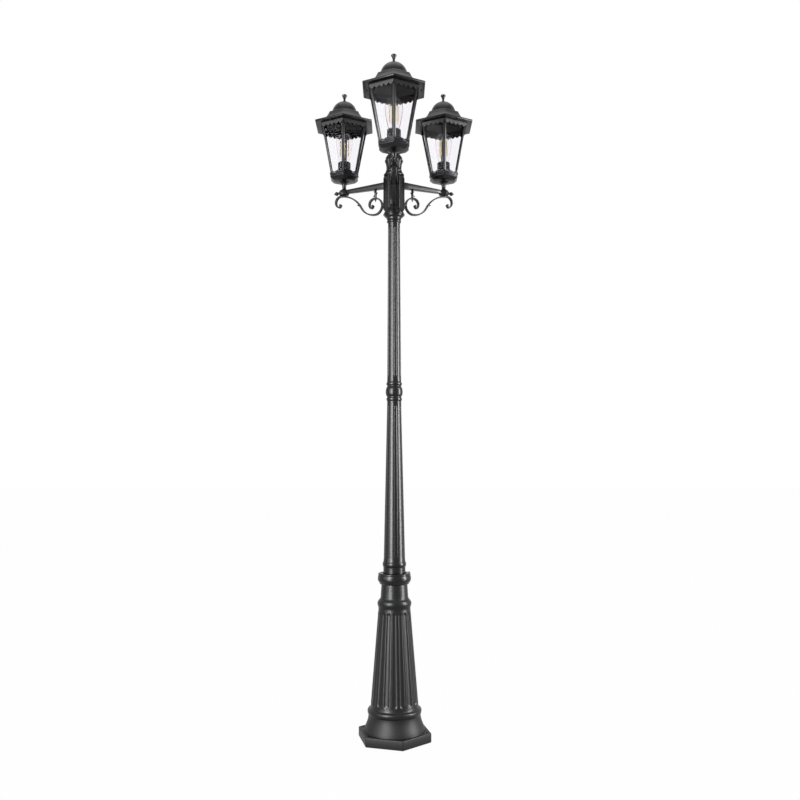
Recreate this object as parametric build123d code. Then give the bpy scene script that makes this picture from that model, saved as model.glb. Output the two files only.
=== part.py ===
"""Triple head lamp post in cast aluminium, 2.4 m tall.

A fluted post of two columns on a hexagonal pedestal carries a head with three level arms.
Each arm ends in a hexagonal lantern and is braced by an S-shaped scroll.
Origin: centre of the pedestal's underside, on the post's axis. +Z is up. One arm points to -Y.
All sizes are in millimetres.
"""

import math
import os

from build123d import *

# ---------------------------------------------------------------- clearances
FIT = 0.05  # radial running fit of the head on its spigot
PLAY = 0.4  # radial play of a bulb's cap in its holder, and of the collar's screw
SNUG = 0.1  # radial clearance of screws, nipples and spigots that stay put

# ---------------------------------------------------------------- pedestal
BASE_CORNER_R = 135.6
BASE_CORNER_AZIMUTH = -77.6  # one corner of the plate stands 12.4 degrees off the front arm
PLATE_HEIGHT = 33.0
PLATE_BEVEL = 4.0
ANCHOR_CIRCLE_R = 118.0
ANCHOR_HOLE_R = 5.0
SKIRT_FOOT_R = 108.0
SKIRT_TOP_R = 92.0
SKIRT_HEIGHT = 57.0
TORUS_R = 94.5
TORUS_HEIGHT = 24.0
TORUS_ROUNDING = 8.0
TAPER_FOOT_R = 85.0
TAPER_TOP_R = 57.0
TAPER_HEIGHT = 346.0
FLUTE_COUNT = 18
FLUTE_SHARE = 0.72  # of a flute's pitch, the rest is land
FLUTE_DEPTH = 3.2
FLUTE_MARGIN = 14.0
FLUTE_RUN_OUT = 10.0
BEAD_R = 59.5
BEAD_HEIGHT = 37.0
NECK_FOOT_R = 49.0
NECK_TOP_R = 46.4
NECK_HEIGHT = 46.0
PEDESTAL_WALL = 7.0
SOCKET_R = 34.0
SOCKET_DEPTH = 62.0
COLUMN_NUT_CORNER_R = 44.0
COLUMN_NUT_HEIGHT = 14.0

# ---------------------------------------------------------------- collar over the joint of the column
COLLAR_R = 60.0
COLLAR_FOOT_R = 51.5
COLLAR_BORE_R = 43.6
COLLAR_HEIGHT = 40.0
COLLAR_WALL = 4.0
COLLAR_EDGE = 6.0
COLLAR_SCREW_R = 2.0
COLLAR_SCREW_HEAD_R = 4.2
COLLAR_SCREW_AZIMUTH = 22.0

# ---------------------------------------------------------------- lower column
COLUMN_FOOT_R = 42.6
COLUMN_FOOT_HEIGHT = 6.0
COLUMN_ROOT_R = 39.7
COLUMN_ROOT_HEIGHT = 55.0
COLUMN_BEAD_R = 42.4
COLUMN_BEAD_HEIGHT = 18.0
LOWER_SHAFT_FOOT_R = 38.5
LOWER_SHAFT_TOP_R = 25.6
LOWER_SHAFT_HEIGHT = 578.0
LOWER_BORE_R = 16.0
COLUMN_FLUTE_COUNT = 6
COLUMN_FLUTE_AZIMUTH = -80.0
COLUMN_FLUTE_SHARE = 0.4
COLUMN_FLUTE_DEPTH = 2.6
COLUMN_FLUTE_MARGIN = 16.0
COLUMN_FLUTE_RUN_OUT = 8.0
KNOP_RING_R = 28.2
KNOP_RING_HEIGHT = 16.0
KNOP_R = 31.0
KNOP_HEIGHT = 40.0
NIPPLE_R = 13.0
NIPPLE_BORE_R = 10.0
NIPPLE_REACH = 45.0

# ---------------------------------------------------------------- upper column
UPPER_RING_R = 28.5
UPPER_RING_HEIGHT = 16.0
UPPER_SHAFT_FOOT_R = 25.4
UPPER_SHAFT_TOP_R = 22.1
UPPER_SHAFT_HEIGHT = 586.0
CAPITAL_RING_R = 26.6
CAPITAL_RING_HEIGHT = 16.0
CAPITAL_FLARE_R = 34.5
CAPITAL_FLARE_HEIGHT = 11.0
CAPITAL_LIP = 4.0
SPIGOT_R = 16.0
SPIGOT_LENGTH = 70.0
CABLE_R = 8.0

# ---------------------------------------------------------------- head
HUB_LIP_R = 40.0
HUB_LIP_HEIGHT = 5.0
HUB_WAIST_HEIGHT = 18.0
HUB_CORNER_R = 39.8
HUB_BEVEL = 6.0
HUB_SHOULDER_R = 38.0
HUB_SHOULDER_HEIGHT = 9.0
HUB_HEIGHT = 159.0
HUB_CAP_FOOT_R = 24.0
HUB_CAP_BEAD_R = 27.0
HUB_CAP_FLARE_R = 31.5
HUB_CAP_NECK_HEIGHT = 48.0
HUB_CAP_DOME_HEIGHT = 30.0
HUB_CAP_KNOB_R = 8.0
HUB_CAP_KNOB_HEIGHT = 16.0
GRUB_R = 2.5
GRUB_LENGTH = 14.0

ARM_ANGLES = {"front": -90.0, "right": 30.0, "left": 150.0}
ARM_REACH = 220.5
ARM_TOP_ABOVE_HUB_FOOT = 129.0
ARM_ROOT_WIDTH = 27.0
ARM_ROOT_DEPTH = 20.5
ARM_TIP_WIDTH = 15.0
ARM_TIP_DEPTH = 14.0
END_BLOCK_R = 19.0
END_BLOCK_RISE = 2.0
END_BLOCK_DEPTH = 21.5
SPEAR_BEAD_R = 6.5
SPEAR_R = 8.5
SPEAR_LENGTH = 30.0

# The scroll's centre line is one chain of arcs, from the small curl by the hub to the outer curl.
SCROLL_START = (91.1, -79.9)  # from the post's axis, and from the arm's top
SCROLL_HEADING = -102.4
SCROLL_ARCS = (  # radius, turn in degrees
    (6.2, 158.0),
    (20.7, 107.0),
    (31.3, 197.0),
    (68.0, 62.2),
    (103.0, -26.4),
    (122.0, -30.7),
    (21.7, -158.0),
    (6.35, -131.6),
)
SCROLL_STEP = 20.0  # degrees of turn between two corners of the bent bar
SCROLL_THICKNESS = 5.0
SCROLL_WIDTH = 12.0
SCROLL_EYE_R = 4.5
BRACKET_WIDTH = 26.0
BRACKET_HEIGHT = 30.0
BRACKET_THICKNESS = 5.0
BRACKET_REACH = 52.0
BRACKET_DROP = 81.5  # below the arm's top, to the bracket's middle
RING_TOP_DROP = 52.0
HANGER_AT = 79.5
HANGER_WIDTH = 6.0
LEAF_LENGTH = 14.0
LEAF_WIDTH = 7.0
LEAF_AT = 150.0
LEAF_DROP = 69.0
LEAF_HEADING = 20.0

# ---------------------------------------------------------------- lanterns
STEM_R = 9.0
STEM_SINK = 12.0
STEM_HEIGHT = 10.0
BOSS_R = 23.0
BOSS_HEIGHT = 16.0
TRAY_FOOT_R = 46.0
TRAY_BEVEL = 10.0
TRAY_CORNER_R = 58.2
TRAY_HEIGHT = 21.0
TRAY_WALL = 4.0
TRAY_HOLLOW = 14.0
CAGE_HEIGHT = 190.0
CAGE_TOP_CORNER_R = 98.0
CAGE_WALL = 4.0
RIB_WIDTH = 6.5
CREST_HEIGHT = 9.0
VALANCE_HEIGHT = 14.0
CREST_SCALLOPS = 2
VALANCE_SCALLOPS = 4
SCALLOP_DEPTH = 4.5
PANE_THICKNESS = 2.0
PANE_LAP = 2.0
ROOF_SCREW_R = 2.0
ROOF_SCREW_INSET = 11.0
ROOF_SCREW_GRIP = 6.0
ROOF_SCREW_ANGLES = (-90.0, 90.0)
BRIM_CORNER_R = 124.0
BRIM_THICKNESS = 8.0
BELL_SECTIONS = ((98.0, 5.0), (80.0, 15.0), (69.0, 31.0), (62.0, 45.0))  # corner radius, rise
ROOF_WALL = 3.5
DOME_R = 48.0
DOME_ANGLES = (0, 15, 30, 45, 60, 80)  # where the dome's sections stand, up from its rim
FINIAL_FOOT_R = 8.0
FINIAL_NECK_R = 4.0
FINIAL_R = 9.8
FINIAL_HEIGHT = 31.0

POST_SIDES = 36  # sides of the post's turned mouldings
DOME_SIDES = 18
ROUND_SIDES = 12  # sides of the small round pieces that repeat on every lantern
SCREW_SIDES = 6

# ---------------------------------------------------------------- bulbs
HOLDER_FOOT_R = 15.0
HOLDER_FLANGE_R = 32.0
HOLDER_FLANGE_RISE = 27.0
HOLDER_FLANGE_THICKNESS = 5.0
HOLDER_R = 24.0
HOLDER_HEIGHT = 64.0
BULB_CAP_R = 13.1
BULB_CAP_HEIGHT = 24.0
BULB_CAP_STANDS_OUT = 1.0
BULB_SECTIONS = ((15.0, 0.0), (21.0, 9.0), (27.0, 52.0), (32.0, 81.0), (29.0, 101.0), (16.0, 115.0))
BULB_GLASS = 1.6
FILAMENT_CIRCLE_R = 9.0
FILAMENT_LENGTH = 64.0
FILAMENT_WIDTH = 1.8
STEM_FOOT_R = 6.0
STEM_RISE = 20.0

# ---------------------------------------------------------------- levels worked out from the sizes above
Z_SKIRT = PLATE_HEIGHT
Z_TORUS = Z_SKIRT + SKIRT_HEIGHT
Z_TAPER = Z_TORUS + TORUS_HEIGHT
Z_BEAD = Z_TAPER + TAPER_HEIGHT
Z_NECK = Z_BEAD + BEAD_HEIGHT
Z_COLUMN = Z_NECK + NECK_HEIGHT
Z_ROOT = Z_COLUMN + COLUMN_FOOT_HEIGHT
Z_COLUMN_BEAD = Z_ROOT + COLUMN_ROOT_HEIGHT
Z_LOWER_SHAFT = Z_COLUMN_BEAD + COLUMN_BEAD_HEIGHT
Z_KNOP_RING = Z_LOWER_SHAFT + LOWER_SHAFT_HEIGHT
Z_KNOP = Z_KNOP_RING + KNOP_RING_HEIGHT
Z_UPPER = Z_KNOP + KNOP_HEIGHT
Z_UPPER_SHAFT = Z_UPPER + UPPER_RING_HEIGHT
Z_CAPITAL = Z_UPPER_SHAFT + UPPER_SHAFT_HEIGHT
Z_FLARE = Z_CAPITAL + CAPITAL_RING_HEIGHT
Z_HUB = Z_FLARE + CAPITAL_FLARE_HEIGHT + CAPITAL_LIP
Z_HUB_TOP = Z_HUB + HUB_HEIGHT
Z_ARM_TOP = Z_HUB + ARM_TOP_ABOVE_HUB_FOOT
Z_STEM = Z_ARM_TOP + END_BLOCK_RISE
Z_TRAY_FOOT = Z_STEM + STEM_HEIGHT + BOSS_HEIGHT
Z_TRAY = Z_TRAY_FOOT + TRAY_BEVEL
Z_CAGE = Z_TRAY + TRAY_HEIGHT
Z_TRAY_FLOOR = Z_CAGE - TRAY_HOLLOW
Z_ROOF = Z_CAGE + CAGE_HEIGHT
Z_LEDGE = Z_ROOF + BRIM_THICKNESS + BELL_SECTIONS[-1][1]
Z_ROOF_TOP = Z_LEDGE + DOME_R * math.sin(math.radians(DOME_ANGLES[-1]))
Z_HOLDER_TOP = Z_TRAY_FLOOR + HOLDER_HEIGHT
Z_BULB = Z_HOLDER_TOP + BULB_CAP_STANDS_OUT

FLUTE_STEPS = 3  # flat faces across one flute
LAND_STEP = 18.0  # degrees of round land to one flat face
REVEAL = 0.8  # step where a fluted shaft meets a turned moulding
SIDES = 6
FLAT = math.cos(math.pi / SIDES)  # a hexagon's half width across its flats, over its corner radius
POST_FRONT = -90.0
ROUND_FLAT = math.cos(math.pi / ROUND_SIDES)


# ---------------------------------------------------------------- helpers
def polar(radius, angle):
    return radius * math.cos(math.radians(angle)), radius * math.sin(math.radians(angle))


def polygon(radius, sides=SIDES, first_corner=0.0):
    corners = [polar(radius, first_corner + 360 * k / sides) for k in range(sides)]
    return make_face(Polyline(*corners, close=True))


def flat_face(corners):
    return Face(Wire.make_polygon(corners, close=True))


def skin(rings):
    """Close flat faces over rings of points that all have the same count, from the foot up."""
    faces = [flat_face(rings[0]), flat_face(rings[-1])]
    count = len(rings[0])
    for low, high in zip(rings, rings[1:]):
        for k in range(count):
            a, b, c, d = low[k], low[(k + 1) % count], high[(k + 1) % count], high[k]
            if abs((b - a).cross(c - a).dot(d - a)) < 1e-6 * (c - a).length**3:
                faces.append(flat_face([a, b, c, d]))
            elif (c - a).length < (d - b).length:
                faces += [flat_face([a, b, c]), flat_face([a, c, d])]
            else:
                faces += [flat_face([a, b, d]), flat_face([b, c, d])]
    return Part() + Solid(Shell(faces))


def prismatoid(sections, sides=SIDES, first_corner=0.0):
    """Join polygons of (corner radius, height) with flat sides; two equal heights make a step."""
    return skin(
        [
            [Vector(*polar(r, first_corner + 360 * k / sides), z) for k in range(sides)]
            for r, z in sections
        ]
    )


def stacked(sections, sides=ROUND_SIDES):
    """A many-sided turning that keeps a flat side to +X."""
    return prismatoid(sections, sides, 180 / sides)


def raised(points, height):
    return [(radius, height + rise) for radius, rise in points]


def rod(radius, length, place=Location()):
    return place * Cylinder(radius, length, align=(Align.CENTER, Align.CENTER, Align.MIN))


def screw_rod(radius, length, place=Location()):
    return place * extrude(polygon(radius, SCREW_SIDES), length)


def around(shape, count, first=0.0):
    return [Rot(0, 0, first + 360 * k / count) * shape for k in range(count)]


def on_arm(shape, angle):
    return Rot(0, 0, angle) * shape


def at_lantern(shape, angle):
    """Place a piece made about the lantern's own axis, with a corner to +X, at the end of an arm."""
    return Rot(0, 0, angle) * Pos(ARM_REACH, 0, 0) * shape


def fluted_ring(radius, z, depth, count, share, first):
    """A circle with hollows, as points: flat steps across each flute and each land."""
    pitch = 360 / count
    land_steps = max(1, round(pitch * (1 - share) / LAND_STEP))
    points = []
    for k in range(count):
        start = first + k * pitch - pitch * share / 2
        for j in range(FLUTE_STEPS):
            sink = depth * math.sin(math.pi * j / FLUTE_STEPS)
            points.append(Vector(*polar(radius - sink, start + pitch * share * j / FLUTE_STEPS), z))
        for j in range(land_steps):
            angle = start + pitch * (share + (1 - share) * j / land_steps)
            points.append(Vector(*polar(radius, angle), z))
    return points


def fluted_shaft(foot, top, count, share, depth, margin, run_out, first):
    """A tapering shaft whose flutes run out before each end. foot and top are (radius, height)."""
    (foot_r, foot_z), (top_r, top_z) = foot, top
    levels = ((0, 0), (margin, 0), (margin + run_out, depth))
    rises = [(foot_z + rise, d) for rise, d in levels] + [(top_z - rise, d) for rise, d in reversed(levels)]
    rings = []
    for z, groove in rises:
        radius = foot_r + (top_r - foot_r) * (z - foot_z) / (top_z - foot_z)
        rings.append(fluted_ring(radius, z, groove * radius / foot_r, count, share, first))
    return skin(rings)


# ---------------------------------------------------------------- post
def pedestal_wall_radius(z):
    """Radius of the cast hollow's wall inside the taper."""
    along = (z - Z_TAPER) / TAPER_HEIGHT
    return TAPER_FOOT_R + (TAPER_TOP_R - TAPER_FOOT_R) * along - PEDESTAL_WALL


def pedestal():
    plate = extrude(polygon(BASE_CORNER_R, first_corner=BASE_CORNER_AZIMUTH), PLATE_HEIGHT)
    plate = chamfer(plate.faces().sort_by(Axis.Z)[-1].edges(), PLATE_BEVEL)
    skirt_middle = ((SKIRT_FOOT_R + 2 * SKIRT_TOP_R) / 3, Z_SKIRT + SKIRT_HEIGHT / 2)
    foot = stacked(
        [
            (SKIRT_FOOT_R, Z_SKIRT - PLATE_BEVEL),
            (SKIRT_FOOT_R, Z_SKIRT),
            skirt_middle,
            (SKIRT_TOP_R, Z_TORUS),
            (TORUS_R, Z_TORUS + TORUS_ROUNDING / 2),
            (TORUS_R, Z_TAPER - TORUS_ROUNDING),
            (TAPER_FOOT_R + REVEAL, Z_TAPER),
        ],
        POST_SIDES,
    )
    taper = fluted_shaft(
        (TAPER_FOOT_R, Z_TAPER),
        (TAPER_TOP_R, Z_BEAD),
        FLUTE_COUNT,
        FLUTE_SHARE,
        FLUTE_DEPTH,
        FLUTE_MARGIN,
        FLUTE_RUN_OUT,
        POST_FRONT,
    )
    neck = stacked(
        [
            (TAPER_TOP_R + REVEAL, Z_BEAD),
            (BEAD_R, Z_BEAD + BEAD_HEIGHT / 3),
            (BEAD_R, Z_NECK - BEAD_HEIGHT / 3),
            (NECK_FOOT_R, Z_NECK),
            (NECK_TOP_R, Z_COLUMN),
        ],
        POST_SIDES,
    )
    socket_foot = Z_COLUMN - SOCKET_DEPTH
    hollow = stacked(
        [
            (SKIRT_FOOT_R - PEDESTAL_WALL, 0),
            (SKIRT_FOOT_R - PEDESTAL_WALL, Z_SKIRT),
            (skirt_middle[0] - PEDESTAL_WALL, skirt_middle[1]),
            (SKIRT_TOP_R - PEDESTAL_WALL, Z_TORUS),
            (pedestal_wall_radius(Z_TAPER), Z_TAPER),
            (pedestal_wall_radius(Z_BEAD), Z_BEAD),
            (pedestal_wall_radius(Z_BEAD), socket_foot),
        ],
        DOME_SIDES,
    )
    socket = rod(SOCKET_R + SNUG, SOCKET_DEPTH, Pos(0, 0, socket_foot))
    holes = around(rod(ANCHOR_HOLE_R, PLATE_HEIGHT, Pos(ANCHOR_CIRCLE_R, 0, 0)), SIDES, BASE_CORNER_AZIMUTH)
    return plate + foot + taper + neck - hollow - socket - holes


def column_nut():
    """Inside the pedestal, on the column's threaded foot."""
    top = Z_COLUMN - SOCKET_DEPTH
    foot = top - COLUMN_NUT_HEIGHT
    bore_r = (SOCKET_R + SNUG) / math.cos(math.pi / POST_SIDES)
    block = prismatoid([(COLUMN_NUT_CORNER_R, foot), (COLUMN_NUT_CORNER_R, top)])
    return block - stacked([(bore_r, foot), (bore_r, top)], POST_SIDES)


def collar():
    foot, top = Z_COLUMN, Z_COLUMN + COLLAR_HEIGHT
    belly = foot + COLLAR_HEIGHT * 0.45
    ring = stacked(
        [
            (COLLAR_FOOT_R, foot),
            ((COLLAR_FOOT_R + 2 * COLLAR_R) / 3, foot + COLLAR_HEIGHT * 0.18),
            (COLLAR_R, belly),
            (COLLAR_R, top - COLLAR_EDGE),
            (COLLAR_R - COLLAR_EDGE, top),
        ],
        POST_SIDES,
    )
    bore = stacked([(COLLAR_BORE_R, foot), (COLLAR_BORE_R, top)], POST_SIDES)
    hole = screw_rod(COLLAR_SCREW_R + SNUG, 3 * COLLAR_WALL, collar_screw_place(-2 * COLLAR_WALL))
    return ring - bore - hole


def collar_screw_place(along):
    """The set screw goes down through the middle of the collar's bevelled edge."""
    middle = COLLAR_EDGE / 2
    edge = Pos(COLLAR_R - middle, 0, Z_COLUMN + COLLAR_HEIGHT - middle)
    return Rot(0, 0, COLLAR_SCREW_AZIMUTH) * edge * Rot(0, 45, 0) * Pos(0, 0, along)


def collar_screw():
    reach = COLLAR_WALL * 1.5
    shank = screw_rod(COLLAR_SCREW_R, reach + COLLAR_SCREW_HEAD_R / 2, collar_screw_place(-reach))
    head = screw_rod(
        COLLAR_SCREW_HEAD_R, COLLAR_SCREW_HEAD_R, collar_screw_place(COLLAR_SCREW_HEAD_R / 2)
    )
    return shank + head


NIPPLE_SEAT_R = NIPPLE_R + SNUG / ROUND_FLAT


def lower_column():
    foot = Z_COLUMN - SOCKET_DEPTH - COLUMN_NUT_HEIGHT
    bore_top = Z_UPPER - NIPPLE_REACH
    third = KNOP_HEIGHT / 3
    shoulder_r = (KNOP_R * 2 + LOWER_SHAFT_TOP_R) / 3
    peg = rod(SOCKET_R, Z_COLUMN - foot, Pos(0, 0, foot))
    root = stacked(
        [
            (COLUMN_FOOT_R, Z_COLUMN),
            (COLUMN_ROOT_R, Z_ROOT + COLUMN_FOOT_HEIGHT),
            (COLUMN_ROOT_R, Z_COLUMN_BEAD),
            (COLUMN_BEAD_R, Z_COLUMN_BEAD + COLUMN_BEAD_HEIGHT / 3),
            (COLUMN_BEAD_R, Z_LOWER_SHAFT - COLUMN_BEAD_HEIGHT / 3),
            (LOWER_SHAFT_FOOT_R + REVEAL, Z_LOWER_SHAFT),
        ],
        POST_SIDES,
    )
    shaft = fluted_shaft(
        (LOWER_SHAFT_FOOT_R, Z_LOWER_SHAFT),
        (LOWER_SHAFT_TOP_R, Z_KNOP_RING),
        COLUMN_FLUTE_COUNT,
        COLUMN_FLUTE_SHARE,
        COLUMN_FLUTE_DEPTH,
        COLUMN_FLUTE_MARGIN,
        COLUMN_FLUTE_RUN_OUT,
        COLUMN_FLUTE_AZIMUTH,
    )
    knop = stacked(
        [
            (LOWER_SHAFT_TOP_R + REVEAL, Z_KNOP_RING),
            (KNOP_RING_R, Z_KNOP_RING + KNOP_RING_HEIGHT / 3),
            (KNOP_RING_R, Z_KNOP - KNOP_RING_HEIGHT / 3),
            (LOWER_SHAFT_TOP_R, Z_KNOP),
            (shoulder_r, Z_KNOP + third / 2),
            (KNOP_R, Z_KNOP + third),
            (shoulder_r, Z_UPPER - third),
            (LOWER_SHAFT_TOP_R, Z_UPPER),
        ],
        POST_SIDES,
    )
    bore = stacked(
        [(LOWER_BORE_R, foot), (LOWER_BORE_R, bore_top - LOWER_BORE_R), (NIPPLE_SEAT_R, bore_top)]
    )
    seat = stacked([(NIPPLE_SEAT_R, bore_top), (NIPPLE_SEAT_R, Z_UPPER)])
    return peg + root + shaft + knop - bore - seat


def column_nipple():
    """The tube inside that draws the two columns together."""
    foot, top = Z_UPPER - NIPPLE_REACH, Z_UPPER + NIPPLE_REACH
    bore = stacked([(NIPPLE_BORE_R, foot), (NIPPLE_BORE_R, top)])
    return stacked([(NIPPLE_R, foot), (NIPPLE_R, top)]) - bore


def upper_column():
    bore_top = Z_UPPER + NIPPLE_REACH
    ring, capital = UPPER_RING_HEIGHT, CAPITAL_RING_HEIGHT
    foot = stacked(
        [
            (LOWER_SHAFT_TOP_R, Z_UPPER),
            (UPPER_RING_R, Z_UPPER + ring / 4),
            (UPPER_RING_R, Z_UPPER + ring * 0.7),
            (UPPER_SHAFT_FOOT_R + REVEAL, Z_UPPER_SHAFT),
        ],
        POST_SIDES,
    )
    shaft = fluted_shaft(
        (UPPER_SHAFT_FOOT_R, Z_UPPER_SHAFT),
        (UPPER_SHAFT_TOP_R, Z_CAPITAL),
        COLUMN_FLUTE_COUNT,
        COLUMN_FLUTE_SHARE,
        COLUMN_FLUTE_DEPTH,
        COLUMN_FLUTE_MARGIN,
        COLUMN_FLUTE_RUN_OUT,
        COLUMN_FLUTE_AZIMUTH,
    )
    head = stacked(
        [
            (UPPER_SHAFT_TOP_R + REVEAL, Z_CAPITAL),
            (CAPITAL_RING_R, Z_CAPITAL + capital / 3),
            (CAPITAL_RING_R, Z_FLARE),
            (CAPITAL_FLARE_R, Z_HUB - CAPITAL_LIP),
            (CAPITAL_FLARE_R, Z_HUB),
        ],
        POST_SIDES,
    )
    spigot = rod(SPIGOT_R, SPIGOT_LENGTH, Pos(0, 0, Z_HUB))
    seat = stacked([(NIPPLE_SEAT_R, Z_UPPER), (NIPPLE_SEAT_R, bore_top)])
    bore = stacked([(CABLE_R, bore_top), (CABLE_R, Z_HUB + SPIGOT_LENGTH)])
    return foot + shaft + head + spigot - seat - bore


# ---------------------------------------------------------------- head
HUB_FLAT_R = HUB_CORNER_R * FLAT
LOCK_SCREW_PLACE = Rot(0, 0, 90) * Pos(SPIGOT_R + 2 * FIT, 0, Z_HUB + HUB_LIP_HEIGHT * 3) * Rot(0, 90, 0)


def head_lock_screw():
    """At the back, between two arms, it clamps the head on its spigot."""
    return screw_rod(GRUB_R, GRUB_LENGTH, LOCK_SCREW_PLACE)


def hub():
    lip_top = Z_HUB + HUB_LIP_HEIGHT
    waist_top = lip_top + HUB_WAIST_HEIGHT
    shoulder = Z_HUB_TOP - HUB_SHOULDER_HEIGHT
    lip = stacked(
        [(HUB_LIP_R, Z_HUB), (HUB_LIP_R, lip_top), (HUB_FLAT_R - HUB_BEVEL, waist_top)], POST_SIDES
    )
    prism = prismatoid(
        [
            (HUB_CORNER_R - HUB_BEVEL, waist_top - HUB_BEVEL),
            (HUB_CORNER_R, waist_top),
            (HUB_CORNER_R, shoulder - HUB_BEVEL),
            (HUB_CORNER_R - HUB_BEVEL, shoulder),
        ]
    )
    crown = stacked([(HUB_SHOULDER_R, shoulder - 1), (HUB_SHOULDER_R, Z_HUB_TOP)], DOME_SIDES)
    spigot_hole = rod(SPIGOT_R + FIT, SPIGOT_LENGTH + 1, Pos(0, 0, Z_HUB))
    cable_hole = stacked([(CABLE_R, Z_HUB), (CABLE_R, Z_HUB_TOP)])
    screw_hole = screw_rod(GRUB_R + SNUG, HUB_LIP_R, LOCK_SCREW_PLACE)
    return lip + prism + crown - spigot_hole - cable_hole - screw_hole


def hub_cap():
    neck_top = Z_HUB_TOP + HUB_CAP_NECK_HEIGHT
    dome_top = neck_top + HUB_CAP_DOME_HEIGHT
    cap = stacked(
        [
            (HUB_CAP_FOOT_R, Z_HUB_TOP),
            (HUB_CAP_BEAD_R, Z_HUB_TOP + HUB_CAP_NECK_HEIGHT / 2),
            (HUB_CAP_FLARE_R, neck_top),
            (HUB_CAP_FLARE_R * 0.85, neck_top + HUB_CAP_DOME_HEIGHT / 2),
            (HUB_CAP_KNOB_R / 2, dome_top),
        ],
        DOME_SIDES,
    )
    knob_z = dome_top - 1
    knob = prismatoid(
        [
            (HUB_CAP_KNOB_R / 2, knob_z),
            (HUB_CAP_KNOB_R, knob_z + HUB_CAP_KNOB_HEIGHT / 2),
            (HUB_CAP_KNOB_R / 4, knob_z + HUB_CAP_KNOB_HEIGHT),
        ]
    )
    return cap + knob


def bar_end(x, width, depth):
    """Corners of an upright rectangle across an arm, with its top edge at the arm's top."""
    under, side = Z_ARM_TOP - depth, width / 2
    return [Vector(x, y, z) for y, z in ((-side, under), (side, under), (side, Z_ARM_TOP), (-side, Z_ARM_TOP))]


def arm():
    bar = skin(
        [
            bar_end(HUB_FLAT_R, ARM_ROOT_WIDTH, ARM_ROOT_DEPTH),
            bar_end(ARM_REACH, ARM_TIP_WIDTH, ARM_TIP_DEPTH),
        ]
    )
    block = Pos(ARM_REACH, 0, Z_STEM - END_BLOCK_DEPTH) * extrude(
        polygon(END_BLOCK_R, first_corner=180 / SIDES), END_BLOCK_DEPTH
    )
    stem_hole = stacked([(STEM_R + SNUG, Z_STEM - STEM_SINK), (STEM_R + SNUG, Z_STEM)])
    return bar + block - Pos(ARM_REACH, 0, 0) * stem_hole


def arm_under(x):
    """Height of the arm's underside at a distance from the post's axis."""
    along = (x - HUB_FLAT_R) / (ARM_REACH - HUB_FLAT_R)
    return Z_ARM_TOP - ARM_ROOT_DEPTH + (ARM_ROOT_DEPTH - ARM_TIP_DEPTH) * along


def spear():
    """Turned spear on the outer face of the end block."""
    shape = prismatoid(
        [
            (SPEAR_BEAD_R / 2, 0),
            (SPEAR_BEAD_R, SPEAR_LENGTH * 0.15),
            (SPEAR_BEAD_R / 2, SPEAR_LENGTH * 0.3),
            (SPEAR_R, SPEAR_LENGTH * 0.58),
            (SPEAR_BEAD_R / 8, SPEAR_LENGTH),
        ]
    )
    return Pos(ARM_REACH + END_BLOCK_R * FLAT, 0, Z_ARM_TOP - ARM_TIP_DEPTH / 2) * Rot(0, 90, 0) * shape


def bent_bar(arcs, start, heading, thickness):
    """Outline of a bent flat bar round a chain of arcs, and the far end of its centre line."""
    x, y, angle = start[0], start[1], heading
    left, right = [], []

    def station():
        dx, dy = polar(thickness / 2, angle + 90)
        left.append((x + dx, y + dy))
        right.append((x - dx, y - dy))

    station()
    for radius, turn in arcs:
        steps = max(1, round(abs(turn) / SCROLL_STEP))
        chord = 2 * radius * math.sin(math.radians(abs(turn) / steps / 2))
        for _ in range(steps):
            angle += turn / steps / 2
            dx, dy = polar(chord, angle)
            x, y = x + dx, y + dy
            angle += turn / steps / 2
            station()
    return make_face(Polyline(*left, *reversed(right), close=True)), (x, y)


def leaf(base, direction):
    """A small pointed leaf that stands on the bar."""
    tip_x, tip_y = polar(LEAF_LENGTH, direction)
    side_x, side_y = polar(LEAF_WIDTH / 2, direction + 90)
    belly_x, belly_y = base[0] + tip_x * 0.45, base[1] + tip_y * 0.45
    points = [
        base,
        (belly_x + side_x, belly_y + side_y),
        (base[0] + tip_x, base[1] + tip_y),
        (belly_x - side_x, belly_y - side_y),
    ]
    return make_face(Polyline(*points, close=True))


def scroll():
    start = (SCROLL_START[0], Z_ARM_TOP + SCROLL_START[1])
    outline, end = bent_bar(SCROLL_ARCS, start, SCROLL_HEADING, SCROLL_THICKNESS)
    ring_top = Z_ARM_TOP - RING_TOP_DROP
    hanger_top = arm_under(HANGER_AT - HANGER_WIDTH / 2)
    hanger_height = hanger_top - ring_top
    outline += Pos(*start) * polygon(SCROLL_EYE_R, SCREW_SIDES)
    outline += Pos(*end) * polygon(SCROLL_EYE_R, SCREW_SIDES)
    outline += Pos(HANGER_AT, ring_top + hanger_height / 2) * Rectangle(HANGER_WIDTH, hanger_height)
    outline += leaf((HANGER_AT, ring_top), -90)
    outline += leaf((HANGER_AT, ring_top + hanger_height / 2), 0)
    outline += leaf((LEAF_AT, Z_ARM_TOP - LEAF_DROP), LEAF_HEADING)
    bracket_z = Z_ARM_TOP - BRACKET_DROP
    outline += Pos((HUB_FLAT_R + BRACKET_REACH) / 2, bracket_z) * Rectangle(
        BRACKET_REACH - HUB_FLAT_R, SCROLL_WIDTH
    )
    bar = extrude(Plane.XZ * outline, SCROLL_WIDTH / 2, both=True)
    plate = Pos(HUB_FLAT_R + BRACKET_THICKNESS / 2, 0, bracket_z) * Box(
        BRACKET_THICKNESS, BRACKET_WIDTH, BRACKET_HEIGHT
    )
    room = 2 * END_BLOCK_R
    under_block = Z_STEM - END_BLOCK_DEPTH
    return bar + plate - Pos(ARM_REACH, 0, under_block + room / 2) * Box(2 * room, room, room)


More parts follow.
